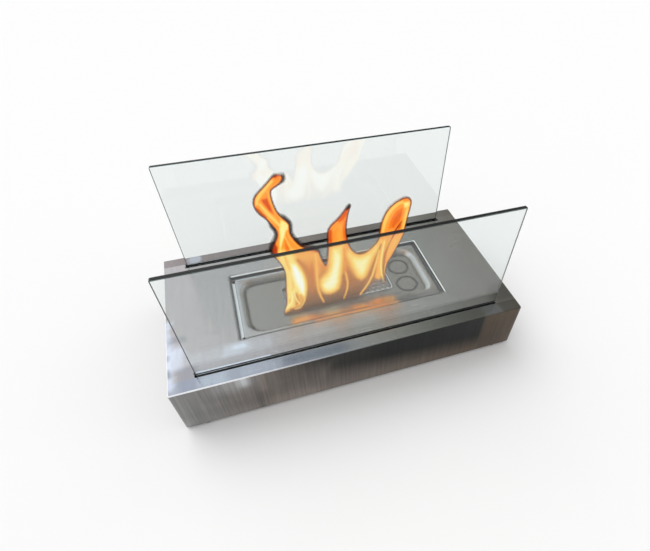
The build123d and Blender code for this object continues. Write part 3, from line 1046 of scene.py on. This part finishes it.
def flame_place(x, height):
    """Where the sheet stands from front to rear, and its true height."""
    rise = np.maximum(height, ROLL_HEIGHT) - FLAME_FOOT
    rolled = np.maximum(ROLL_HEIGHT - height, 0.0)
    flare = FOOT_FLARE * np.exp(-rise / FLARE_HEIGHT)
    right = RIGHT_LEAN * rise
    left = LEFT_LEAN * (rise / LEFT_RISE) ** LEFT_CURL
    depth = right + (left - right) * smooth(-x, LEFT_FROM, LEFT_FULL) + FOOT_FRONT - flare
    drop = ROLL_DROP * (1.0 - np.exp(-rolled / ROLL_DROP))
    return depth - ROLL_FORWARD * rolled, np.maximum(height, ROLL_HEIGHT) - drop


LEFT_TIP = (-38.0, 178.0)
tip_depth, tip_height = flame_place(*np.array(LEFT_TIP))
print("left tip, from front to rear and up, mm:", round(float(tip_depth), 1), float(tip_height))

# %% Flame outline
# Points are (from left to right, up the sheet), in mm.
LEFT_OUTER = (
    (-61, 52.5), (-60.3, 55.3), (-57.5, 60), (-56.2, 64), (-55.3, 70), (-54.6, 76), (-53.6, 82),
    (-52.7, 88), (-52.3, 93), (-52.9, 98), (-54.6, 103), (-57.2, 107.8), (-59.6, 112),
    (-60.3, 115.5), (-59.6, 118.5), (-57.6, 121.5), (-55, 124.5), (-53.2, 127.5), (-52.2, 130.5),
    (-52.7, 133.8), (-54.6, 137.3), (-57, 141), (-60, 145), (-63, 147.8), (-65.6, 151),
    (-67.4, 155), (-67.6, 158.5), (-66.3, 162), (-63.6, 165), (-60.2, 167.4), (-56.3, 170),
    (-52.8, 172.4), (-49.6, 174.8), (-46.6, 177), (-43.3, 178.3), (-40.2, 178.3), (-38.6, 177),
)
LEFT_INNER = (
    (-38.6, 174.6), (-41, 172), (-44.2, 170.1), (-47.7, 168.6), (-50.6, 166.6), (-51.6, 163),
    (-51.4, 159), (-50.7, 154.5), (-49.5, 150), (-47.6, 146.3), (-44.6, 142.6), (-41.8, 139.4),
    (-40.2, 136.6), (-40.5, 133), (-40.8, 129), (-39.4, 125), (-37.1, 121), (-34.1, 117),
    (-30.8, 114.2), (-26, 112.9), (-20.5, 112.4), (-17.5, 110.8), (-16.5, 107), (-15.4, 102.5),
    (-14, 98.5), (-12.4, 95.5), (-10.9, 97.5), (-9.8, 101), (-8.8, 105), (-8.1, 109.5),
)
MIDDLE_TONGUE = (
    (-7.3, 115), (-6.7, 120), (-6.4, 125), (-5.7, 130), (-4.3, 133.2), (-2.1, 135.8), (0.6, 138),
    (4.2, 140.6), (7.6, 143.7), (10.6, 146.8), (13.3, 149.8), (15.6, 152.3), (17.4, 153.4),
    (17.6, 151.8), (16.2, 148.8), (14.7, 144.6), (13.4, 139.6), (12.4, 134.6), (11.8, 130),
    (11.6, 125), (11.9, 120), (12.6, 115), (14.2, 110.2), (16.6, 105.9), (19.7, 102.6),
    (23.3, 100.8), (27, 100.5), (31.1, 101.6), (35.3, 103.9), (39.4, 107), (42.6, 110.1),
    (44.9, 113.8),
)
RIGHT_TONGUE = (
    (46.2, 118), (47.1, 122), (47.9, 126), (49.1, 130), (50.8, 134), (53.1, 138.2), (56, 142),
    (59.4, 144.9), (63.3, 147.4), (67.2, 149.1), (71, 150.3), (74.8, 150.4), (77.5, 149),
    (79, 146.3), (79, 143), (78, 138.5), (76.7, 134), (75.4, 129.5), (74.4, 125), (73.4, 121),
    (72.4, 117), (70.9, 113), (68.7, 108.5), (65.9, 103.5), (62.9, 98.5), (59.9, 93.5),
    (57.4, 89.5), (54, 85), (52, 80), (50.9, 75), (50.2, 70), (50, 65), (49.8, 61.3),
)
FLAME_BOTTOM = (
    (48, 60.6), (44.5, 61.4), (40, 60.8), (35.5, 59.4), (31, 57.8), (27, 56.2), (23, 54.6),
    (18, 53.4), (11, 52.2), (4, 52.6), (-4.7, 51.8), (-12, 52.2), (-20, 51.4), (-28, 52.0),
    (-36, 51.8), (-44, 51.2), (-52, 51.6), (-58, 51.4),
)
drawn = LEFT_OUTER + LEFT_INNER + MIDDLE_TONGUE + RIGHT_TONGUE + FLAME_BOTTOM
print("points drawn:", len(drawn))

# %% Round the outline
OUTLINE_STEP = 0.8
CURVE_STEPS = 8  # from one drawn point to the next


def rounded_outline(points, step):
    """A closed smooth curve through the points, cut into even steps."""
    points = np.array(points, dtype=float)
    before, after = np.roll(points, 1, axis=0), np.roll(points, -1, axis=0)
    further = np.roll(points, -2, axis=0)
    pieces = []
    for t in np.linspace(0.0, 1.0, CURVE_STEPS, endpoint=False):
        pieces.append(
            points
            + 0.5 * t * (after - before)
            + t**2 * (before - 2.5 * points + 2.0 * after - 0.5 * further)
            + t**3 * (1.5 * (points - after) + 0.5 * (further - before))
        )
    curve = np.stack(pieces, axis=1).reshape(-1, 2)
    closed = np.vstack([curve, curve[:1]])
    travelled = np.concatenate([[0.0], np.cumsum(np.hypot(*np.diff(closed, axis=0).T))])
    stops = np.linspace(0.0, travelled[-1], int(travelled[-1] / step), endpoint=False)
    return np.stack([np.interp(stops, travelled, closed[:, side]) for side in (0, 1)], axis=1)


bright_outline = rounded_outline(drawn, OUTLINE_STEP)
print("points after rounding:", len(bright_outline))

# %% Grow the outline
RIM = 1.6  # how far the dark rim reaches past the drawn outline
HEAVY_RIM = 2.7  # what it gains beside the left tongue's waist, in the notch and at the left tip
HEAVY_RIMS = (
    ((-44, 143), (-40, 137), (-40, 128), (-36, 120), (-29, 115), (-18, 113)),
    ((-55, 138), (-52, 131), (-56, 124), (-60, 117)),
    ((-15.5, 103), (-12.4, 96), (-9.8, 102)),
    ((-38, 177.5), (-38, 174.5)),
)
HEAVY_REACH = 4.0
NOT_TOO_NEAR = 0.05  # how much nearer than its reach a moved point may be to the outline
HIGHEST = 179.6  # just under the glass's top edge


def distance_to(points, line, closed=False):
    """How far each point is from a line of points, and how far along that line it is, 0 to 1."""
    line = np.asarray(line, dtype=float)
    ends = np.roll(line, -1, axis=0) if closed else line[1:]
    starts = line if closed else line[:-1]
    reach = ends - starts
    sizes = np.hypot(*reach.T)
    travelled = np.concatenate([[0.0], np.cumsum(sizes)])
    nearest = np.full(len(points), np.inf)
    place_along = np.zeros(len(points))
    for start, run, size, done in zip(starts, reach, sizes, travelled):
        share = np.clip((points - start) @ run / size**2, 0.0, 1.0)
        gap = np.hypot(*(points - start - share[:, None] * run).T)
        closer = gap < nearest
        nearest = np.where(closer, gap, nearest)
        place_along = np.where(closer, done + share * size, place_along)
    return nearest, place_along / travelled[-1]


def near_heavy_rim(points):
    """How close each point is to a heavy rim, from 0 to 1."""
    gaps = [distance_to(points, line)[0] for line in HEAVY_RIMS]
    return np.exp(-((np.min(gaps, axis=0) / HEAVY_REACH) ** 2))


def grown(outline):
    """The outline moved out by the rim's width, without what would land too near another side."""
    reach = RIM + HEAVY_RIM * near_heavy_rim(outline)
    run = np.roll(outline, -1, axis=0) - np.roll(outline, 1, axis=0)
    outward = np.stack([-run[:, 1], run[:, 0]], axis=1) / np.hypot(*run.T)[:, None]
    moved = outline + outward * reach[:, None]
    moved = moved[distance_to(moved, outline, closed=True)[0] > reach - NOT_TOO_NEAR]
    moved[:, 1] = np.minimum(moved[:, 1], HIGHEST)
    return moved


flame_outline = grown(bright_outline)
print("points after growing:", len(flame_outline))

# %% Fill the outline
from mathutils.geometry import delaunay_2d_cdt

SHEET_STEP = 0.9
ROW_HEIGHT = 0.87  # of the step, as in a honeycomb
RIM_CLEAR = 0.5  # of the step, between the rim and the nearest grid point
SAME_POINT = 1e-5
ON_RIM = 1e-3


def is_inside(points, line):
    """Which points are inside a closed line, by counting the edges above each."""
    inside = np.zeros(len(points), dtype=bool)
    for (x0, h0), (x1, h1) in zip(line, np.roll(line, -1, axis=0)):
        crosses = (points[:, 0] > x0) != (points[:, 0] > x1)
        if x0 != x1:
            level = h0 + (points[:, 0] - x0) / (x1 - x0) * (h1 - h0)
            inside ^= crosses & (points[:, 1] < level)
    return inside


def depth_in(points, line):
    """How deep each point is inside a closed line; outside it, less than zero."""
    depth = distance_to(points, line, closed=True)[0]
    return np.where(is_inside(points, line), depth, -depth)


def filled_sheet(outline, step):
    """Triangles inside an outline: points, faces and each point's distance to the rim."""
    low, high = outline.min(axis=0), outline.max(axis=0)
    rows = np.arange(low[1], high[1], step * ROW_HEIGHT)
    grid = [
        (x, height)
        for row, height in enumerate(rows)
        for x in np.arange(low[0] + step * (row % 2) / 2, high[0], step)
    ]
    grid = np.array(grid)
    grid = grid[depth_in(grid, outline) > step * RIM_CLEAR]
    points = np.vstack([outline, grid])
    rim = list(range(len(outline)))
    made = delaunay_2d_cdt([Vector(point) for point in points], [], [rim], 1, SAME_POINT)
    points = np.array([tuple(point) for point in made[0]])
    faces = np.array([face for face in made[2] if len(face) == 3])
    depth = distance_to(points, outline, closed=True)[0]
    return points, faces, np.where(depth < ON_RIM, 0.0, depth)


sheet_points, sheet_faces, rim_distance = filled_sheet(flame_outline, SHEET_STEP)
print("flame sheet:", len(sheet_points), "points and", len(sheet_faces), "triangles")

# %% [markdown]
# ## Heat in the flame
#
# A flame is not one colour: pale yellow cores, orange folds, dark red tips, sooty rims and
# almost clear smoke near the mouth. Each point of the sheet gets three numbers, its heat, its
# soot and its cover. They start from a table by height; soft-edged cores and short drawn
# strands then change them, as a painter would, from the broad to the thin. The material only
# has to turn heat into colour and mix in the soot.

# %% Cores of heat
# What the flame is without its cores: (height, heat, soot, cover).
PLAIN_FLAME = np.array((
    (48, 0.44, 1.00, 0.35), (52.5, 0.44, 1.00, 0.75), (55, 0.44, 0.95, 0.90),
    (58, 0.45, 0.86, 0.90), (64, 0.46, 0.74, 0.88), (72, 0.46, 0.56, 0.88), (82, 0.47, 0.34, 0.90),
    (95, 0.48, 0.16, 0.92), (106, 0.55, 0.03, 0.93), (118, 0.46, 0.00, 0.96),
    (180, 0.46, 0.00, 0.96),
))
# Each core is (outline, blur in mm, heat, strength).
CORES = (
    # left of the foot, and its pale heart
    (((-56, 116), (-42, 114), (-39.5, 104), (-37, 97), (-34.5, 90), (-33.5, 82), (-34.5, 74),
      (-37, 66), (-40, 61), (-46, 57), (-54, 56), (-64, 54), (-60, 62), (-58, 70), (-57, 80),
      (-56, 92), (-57, 100)), 3.6, 0.78, 0.95),
    (((-45, 101), (-41, 99.5), (-37, 91), (-36, 82), (-36.5, 74), (-38, 68), (-41, 72), (-43.5, 81),
      (-45, 91)), 3.2, 1.02, 0.97),
    # middle core: a tall stem that swells towards its foot
    (((-4.5, 114), (6.5, 114), (5.5, 104), (4, 96), (3, 88), (1.5, 80), (0, 72), (-2, 67),
      (-6, 64.5), (-11, 63.5), (-16, 65), (-19, 69), (-20, 74), (-19.5, 79), (-16.5, 83),
      (-12.5, 86), (-9.5, 90), (-7.5, 96), (-6, 104)), 5.0, 0.82, 0.97),
    (((-1, 108), (2.5, 104), (2, 95), (-1, 84), (-3, 75), (-6, 69), (-11, 67.5), (-16, 70),
      (-16.5, 74), (-12, 78), (-7.5, 84), (-4, 93), (-2.5, 102)), 3.4, 0.96, 0.85),
    # hammock between the middle and right tongues
    (((10, 103), (12.5, 96), (15, 88), (17.5, 80), (20, 75), (24, 72), (28, 74), (31, 80), (34, 87),
      (38, 95), (43, 103), (46, 110), (42, 107), (36, 101.5), (29, 98.5), (23, 98.5), (17, 101.5),
      (13, 106)), 4.8, 0.78, 0.95),
    (((17, 96), (19, 88), (22, 81), (25, 78.5), (28, 82), (31, 90), (33, 96), (25, 94)), 3.4, 0.91,
      0.8),
    # right of the foot
    (((44, 112), (52, 112), (49, 102), (47, 92), (46, 80), (46, 70), (43, 66), (39, 70), (41, 80),
      (42, 90), (43, 100)), 2.2, 0.60, 0.85),
    (((57, 114), (69, 114), (65, 104), (59, 94), (53, 86), (51, 78), (50, 70), (51, 80), (52, 92),
      (54, 102)), 2.2, 0.57, 0.85),
    # waist and top of the left tongue
    (((-47, 142), (-43, 139.5), (-41, 136.5), (-42, 133), (-44.5, 131.2), (-46.5, 127.5),
      (-48.5, 124), (-51.5, 118), (-53.5, 113), (-52.5, 121), (-50.5, 128), (-49.8, 134)), 1.0,
      0.84, 0.95),
    (((-60.5, 161), (-55, 161.5), (-53, 156), (-52.3, 147.5), (-56, 151.5)), 1.5, 0.25, 0.9),
    (((-60.5, 112), (-60.5, 119), (-56.5, 123), (-55, 119), (-55.5, 112)), 1.3, 0.16, 0.92),
    (((-48.5, 113), (-46.5, 124), (-45, 127), (-43.8, 124), (-43.4, 113)), 1.0, 0.36, 0.85),
    # right tongue's ember
    (((56.5, 123), (59.5, 132), (64.5, 138), (69, 140.5), (69.5, 134), (67, 128), (61, 122)), 2.9,
      0.31, 0.9),
    (((71, 146.5), (77.5, 146.5), (77.5, 142), (72.5, 141)), 1.5, 0.82, 0.95),
)
print("cores:", len(CORES))

# %% Strands of heat
# Each strand is (points, width in mm, heat, soot, strength).
STRANDS = (
    # folds between the cores of the foot
    (((-49.5, 111), (-49, 103), (-47.5, 96)), 1.6, 0.56, 0.0, 0.7),
    (((-38, 104), (-33, 97), (-30, 88), (-28.5, 78), (-29, 70)), 3.2, 0.45, 0.42, 0.7),
    (((-17.5, 106), (-18.5, 96), (-19.5, 88)), 1.8, 0.50, 0.0, 0.6),
    (((-25.5, 100), (-26.5, 88), (-26.5, 76)), 1.6, 0.40, 0.25, 0.6),
    (((7.8, 112), (8, 102), (8, 93), (7, 85)), 1.7, 0.47, 0.05, 0.75),
    (((4.5, 82), (5, 72), (2.5, 63)), 1.7, 0.44, 0.6, 0.6),
    (((11, 84), (12.5, 75), (14, 66)), 2.2, 0.44, 0.6, 0.6),
    (((46.5, 107), (43.5, 99), (40, 91), (36.5, 83), (33.5, 76), (30.5, 70), (27, 64)), 1.6, 0.42,
      0.50, 0.85),
    (((58.5, 113), (54, 104), (50.8, 96), (49.4, 88), (49, 80), (49, 73)), 1.0, 0.42, 0.52, 0.8),
    (((-46.5, 84), (-47.5, 76)), 1.0, 0.55, 0.0, 0.5),
    (((-46, 70), (-45, 63), (-47.5, 59)), 3.0, 0.46, 0.34, 0.88),
    (((-41.5, 68), (-40.5, 62), (-43, 58)), 2.0, 0.52, 0.2, 0.75),
    (((-53, 66), (-53.5, 61)), 1.3, 0.55, 0.1, 0.6),
    (((-54, 55), (-47, 53.6), (-42, 55)), 1.8, 0.40, 0.8, 0.85),
    # upper left tongue
    (((-48, 174), (-54, 170.2), (-60, 166), (-64, 161.5), (-65.3, 158)), 1.9, 0.73, 0.0, 0.9),
    (((-53, 166.5), (-52.8, 158), (-50, 150), (-46, 143.5)), 1.4, 0.58, 0.0, 0.8),
    (((-62.5, 157.5), (-58.5, 150.5), (-53.5, 144), (-48.5, 137)), 1.8, 0.72, 0.0, 0.9),
    (((-66.5, 154.5), (-63, 149.5), (-59.5, 146)), 1.3, 0.26, 0.35, 0.8),
    (((-47.5, 177.5), (-43, 178.2), (-39, 177.6)), 1.4, 0.16, 0.35, 0.9),
    (((-45.2, 177), (-42.8, 177.2)), 1.1, 0.16, 0.1, 0.8),
    (((-43.5, 175), (-40, 176.2)), 1.4, 0.42, 0.0, 0.8),
    (((-43.5, 131), (-41, 124.5), (-36.5, 118), (-31.5, 114.3)), 1.7, 0.52, 0.0, 0.85),
    (((-46, 127.5), (-44.3, 120.5), (-42, 113)), 0.9, 0.66, 0.0, 0.8),
    (((-52, 113.5), (-46, 113.5)), 1.2, 0.62, 0.0, 0.6),
    (((-30, 113.2), (-24, 112.6), (-18, 110.5)), 1.4, 0.30, 0.45, 0.8),
    # middle tongue
    (((-4.8, 116), (-4.8, 124), (-3.4, 131)), 2.3, 0.25, 0.0, 0.9),
    (((4, 118), (5, 127), (6, 134)), 3.0, 0.53, 0.0, 0.8),
    (((10.6, 117), (10.4, 128), (11.6, 138)), 2.2, 0.33, 0.0, 0.9),
    (((6, 139.5), (11, 143.5), (13.8, 148.5)), 2.6, 0.28, 0.0, 0.9),
    (((14.4, 150), (16, 151.6), (17.6, 153)), 2.0, 0.05, 0.9, 0.97),
    # right tongue
    (((49.5, 120), (51, 128), (54.5, 136.5), (60, 142.5), (66, 146.3), (70, 147)), 2.1, 0.72, 0.0,
      0.9),
    (((71, 149), (76, 149), (78.3, 146.5)), 1.2, 0.42, 0.0, 0.8),
    (((75.6, 142), (74, 133), (72.4, 125), (71, 119)), 1.9, 0.72, 0.0, 0.9),
    (((69.3, 127), (65.5, 122.5), (61.5, 117.5), (58.5, 112)), 0.9, 0.14, 0.5, 0.85),
    (((66, 119), (68.5, 124)), 0.8, 0.22, 0.3, 0.7),
    # thin bright folds
    (((-49.7, 73), (-49.8, 67), (-52, 62), (-57, 57.5), (-60, 55.5)), 0.9, 0.88, 0.0, 0.95),
    (((-47, 73), (-47.2, 67), (-45.6, 62), (-43.8, 59)), 0.8, 0.88, 0.0, 0.9),
    (((-37.6, 66), (-38.3, 61.5), (-41, 57.5), (-44.5, 55.4), (-50, 55)), 0.8, 0.74, 0.0, 0.85),
    (((-20.3, 108), (-21, 98), (-22, 88), (-22.8, 78), (-22.9, 70), (-21.3, 62), (-19.2, 56)), 1.7,
      0.62, 0.0, 0.95),
    (((7.2, 84), (8.3, 76), (8.5, 70), (7.4, 64), (5, 58), (2.6, 55)), 1.2, 0.63, 0.0, 0.95),
    (((44.5, 101), (41.6, 92), (38.8, 82), (35.8, 73), (31.5, 65.5), (27, 60), (20.5, 54.5)), 1.4,
      0.72, 0.0, 0.95),
    (((50.5, 110), (48.4, 101), (46.6, 91), (46, 81), (46.6, 72), (48, 64.5), (49, 61.5)), 1.2,
      0.84, 0.0, 0.95),
    (((51, 83), (50.4, 74), (50.2, 64)), 0.6, 0.8, 0.0, 0.7),
)
print("strands:", len(STRANDS))

# %% Paint the heat
# Clear places are (points, width in mm, cover that is left).
CLEARINGS = ((((34, 59), (40, 63.5), (47, 62.5)), 3.6, 0.12),)
CALM_FROM, CALM_TO = 100.0, 116.0  # below, the rim is faint; above, it is dark
CORE_COVER = 0.96
STRAND_COVER, SOOT_THINS = 0.94, 0.5
RIM_COVER, RIM_COVER_GAIN = 0.60, 0.32
RIM_COOLS = 0.6
RIM_INSIDE, RIM_OUTSIDE = 1.0, -0.5  # how deep inside the drawn outline the rim ends and starts
FADE = 1.9  # over how many mm the rim thins out; it is less higher up, and more at heavy rims
FADE_LOSS, FADE_GAIN = 0.4, 1.6
STRAND_END = 0.35  # how wide a strand is at its ends, as a share
NEAR_END = 0.04  # how far from its ends a strand stops tapering, as a share
CORE_CLEARS = 0.6  # how strong a core is where no soot is left


def towards(value, goal, share):
    """A value moved towards a goal by a share of the way."""
    return value + (goal - value) * share


def fading(gap, width):
    """1 on a line and less away from it, like a brush mark."""
    return np.exp(-((gap / width) ** 2))


def flame_paint(points):
    """The heat, soot and cover at each point of the sheet."""
    height = points[:, 1]
    levels, *columns = PLAIN_FLAME.T
    heat, soot, cover = (np.interp(height, levels, column) for column in columns)
    for outline, blur, core_heat, strength in CORES:
        share = strength * smooth(depth_in(points, outline), -blur, blur)
        heat = towards(heat, core_heat, share)
        soot = soot * (1.0 - smooth(share, 0.0, CORE_CLEARS))
        cover = towards(cover, CORE_COVER, share)
    for line, width, strand_heat, strand_soot, strength in STRANDS:
        gap, along = distance_to(points, line)
        swell = np.sqrt(np.sin(np.pi * np.clip(along, NEAR_END, 1.0 - NEAR_END)))
        share = strength * fading(gap, width * (STRAND_END + (1.0 - STRAND_END) * swell))
        heat = towards(heat, strand_heat, share)
        soot = towards(soot, strand_soot, share)
        strand_cover = np.maximum(cover, STRAND_COVER - SOOT_THINS * strand_soot)
        cover = towards(cover, strand_cover, share)
    for line, width, left_over in CLEARINGS:
        cover = cover * (1.0 - (1.0 - left_over) * fading(distance_to(points, line)[0], width))
    upper = smooth(height, CALM_FROM, CALM_TO)
    outside = 1.0 - smooth(depth_in(points, bright_outline), RIM_OUTSIDE, RIM_INSIDE)
    soot = np.maximum(soot, outside)
    heat = heat * (1.0 - RIM_COOLS * outside)
    rim_cover = np.minimum(RIM_COVER + RIM_COVER_GAIN * upper, cover)
    cover = cover * (1.0 - outside) + rim_cover * outside
    fade = FADE - FADE_LOSS * upper + FADE_GAIN * near_heavy_rim(points)
    return heat, soot, cover * smooth(rim_distance / fade, 0.0, 1.0)


sheet_heat, sheet_soot, sheet_cover = flame_paint(sheet_points)
print("heat:", round(float(sheet_heat.min()), 2), "to", round(float(sheet_heat.max()), 2))

# %% [markdown]
# ## Flame finish
#
# Flame gives light and hardly takes any, so its shader only glows, and lets through what its
# cover leaves. A flame is also far brighter than its picture: its mirror image in the glass shows
# that, so sharply mirrored rays see it hotter and brighter. In brushed steel the image is smeared
# until it can't be told apart, so rays of that kind see it thinner.

# %% Flame finish
SOOT = (0.018, 0.012, 0.010)
SMOKE = (0.102, 0.052, 0.022)  # what soot looks like in the thin vapour of the foot
SMOKE_TO_SOOT = (60, 96)  # in mm of height
HEAT_COLOURS = (
    (0.0, (0.030, 0.006, 0.004)),
    (0.14, (0.24, 0.022, 0.006)),
    (0.27, (0.64, 0.075, 0.008)),
    (0.37, (0.86, 0.17, 0.016)),
    (0.50, (0.97, 0.36, 0.045)),
    (0.64, (1.0, 0.54, 0.10)),
    (0.80, (1.0, 0.76, 0.22)),
    (0.91, (1.0, 0.90, 0.48)),
    (1.0, (1.0, 0.98, 0.88)),
)
LICKS = 0.14  # how much heat the fine licks add and take away
MIRRORED_GLOW = 2.2
MIRRORED_HEAT = 0.32
SMEARED_COVER = 0.45

flame_glow, tree, shader = new_material("flame")
heat, soot, cover = (
    place(tree, "ShaderNodeAttribute", attribute_name=name)["Fac"]
    for name in ("warmth", "soot", "cover")
)
strand = place(tree, "ShaderNodeAttribute", attribute_name="strand")["Vector"]
heat = heat + (noise(strand, scale=1.0, detail=3.0, roughness=0.55) - 0.5) * LICKS
ray = place(tree, "ShaderNodeLightPath")
mirrored = larger(ray["Is Singular Ray"] - ray["Is Transmission Ray"], 0.0)
sharp = larger(ray["Is Singular Ray"], ray["Is Transmission Ray"])
smeared = larger(ray["Is Glossy Ray"] - sharp, 0.0)
fire = colour_ramp(heat + mirrored * MIRRORED_HEAT, HEAT_COLOURS)
sooty = blend(spread(place_in_mm(tree)[2], *SMOKE_TO_SOOT), SMOKE, SOOT)
finish(
    shader,
    Emission_Color=lit(blend(soot, fire, sooty), mirrored, MIRRORED_GLOW - 1.0),
    Alpha=cover * (smeared * (SMEARED_COVER - 1.0) + 1.0),
    Emission_Strength=1.1,
    Base_Color=(0.0, 0.0, 0.0),
    Specular_IOR_Level=0.0,
    Roughness=1.0,
)
print("colours in the flame:", len(HEAT_COLOURS))

# %% Blow up the flame
FRONT_FULLNESS = 0.5
REAR_FULLNESS = 1.9
MOST_FULL = 7.0
STANDS_FROM, STANDS_AT = 50.0, 66.0  # below, the foot lies flat; above, it is as full as it gets
REAR_COVER = 0.3  # the front carries most of the glow, so that its strands stay crisp
LIFT = 0.15  # keeps front and rear apart where the foot lies down
LICK_FLOW = (0.55, 0.035, 0.03)  # licks per mm: inwards, upwards and sideways
REAR_FLOW = 7.0  # moves the rear's licks away from the front's


def blown_up(name, points, faces, rim_gap, values):
    """A closed flame: the sheet's front and rear, which meet at the rim."""
    depth, height = flame_place(*points.T)
    standing = smooth(points[:, 1], STANDS_FROM, STANDS_AT)
    inner = rim_gap > 0.0
    places = []
    for side, fullness in ((-1, FRONT_FULLNESS), (1, REAR_FULLNESS)):
        bulge = MOST_FULL * (1.0 - np.exp(-fullness * np.sqrt(rim_gap) / MOST_FULL)) * standing
        lift = LIFT * inner * (side > 0)
        places.append(np.stack([points[:, 0], depth + side * bulge, height + lift], axis=1))
    rear_number = np.where(inner, len(points) + np.cumsum(inner) - 1, np.arange(len(points)))
    corners = np.vstack([places[0], places[1][inner]]) * MM
    rear_faces = rear_number[faces][:, ::-1]
    mesh = bpy.data.meshes.new(name)
    mesh.from_pydata(corners.tolist(), [], np.vstack([faces, rear_faces]).tolist())
    for label, (front, rear_share) in values.items():
        both = np.concatenate([front, front[inner] * rear_share])
        mesh.attributes.new(label, "FLOAT", "POINT").data.foreach_set("value", both)
    flows = np.stack([rim_gap, points[:, 1], points[:, 0]], axis=1) * LICK_FLOW
    both = np.vstack([flows, flows[inner] + REAR_FLOW]).ravel()
    mesh.attributes.new("strand", "FLOAT_VECTOR", "POINT").data.foreach_set("vector", both)
    mesh.shade_smooth()
    mesh.validate()
    return mesh


painted = {
    # what, and how much of it the rear side has
    "warmth": (sheet_heat, 1.0),
    "soot": (sheet_soot, 1.0),
    "cover": (sheet_cover, REAR_COVER),
}
flame_mesh = blown_up("flame", sheet_points, sheet_faces, rim_distance, painted)
flame_mesh.materials.append(flame_glow)
flame = bpy.data.objects.new("flame", flame_mesh)
scene.collection.objects.link(flame)
flame.visible_shadow = False
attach(flame, "burner")
print("flame triangles:", len(flame_mesh.polygons))

# %% Update the view layer
bpy.context.view_layer.update()
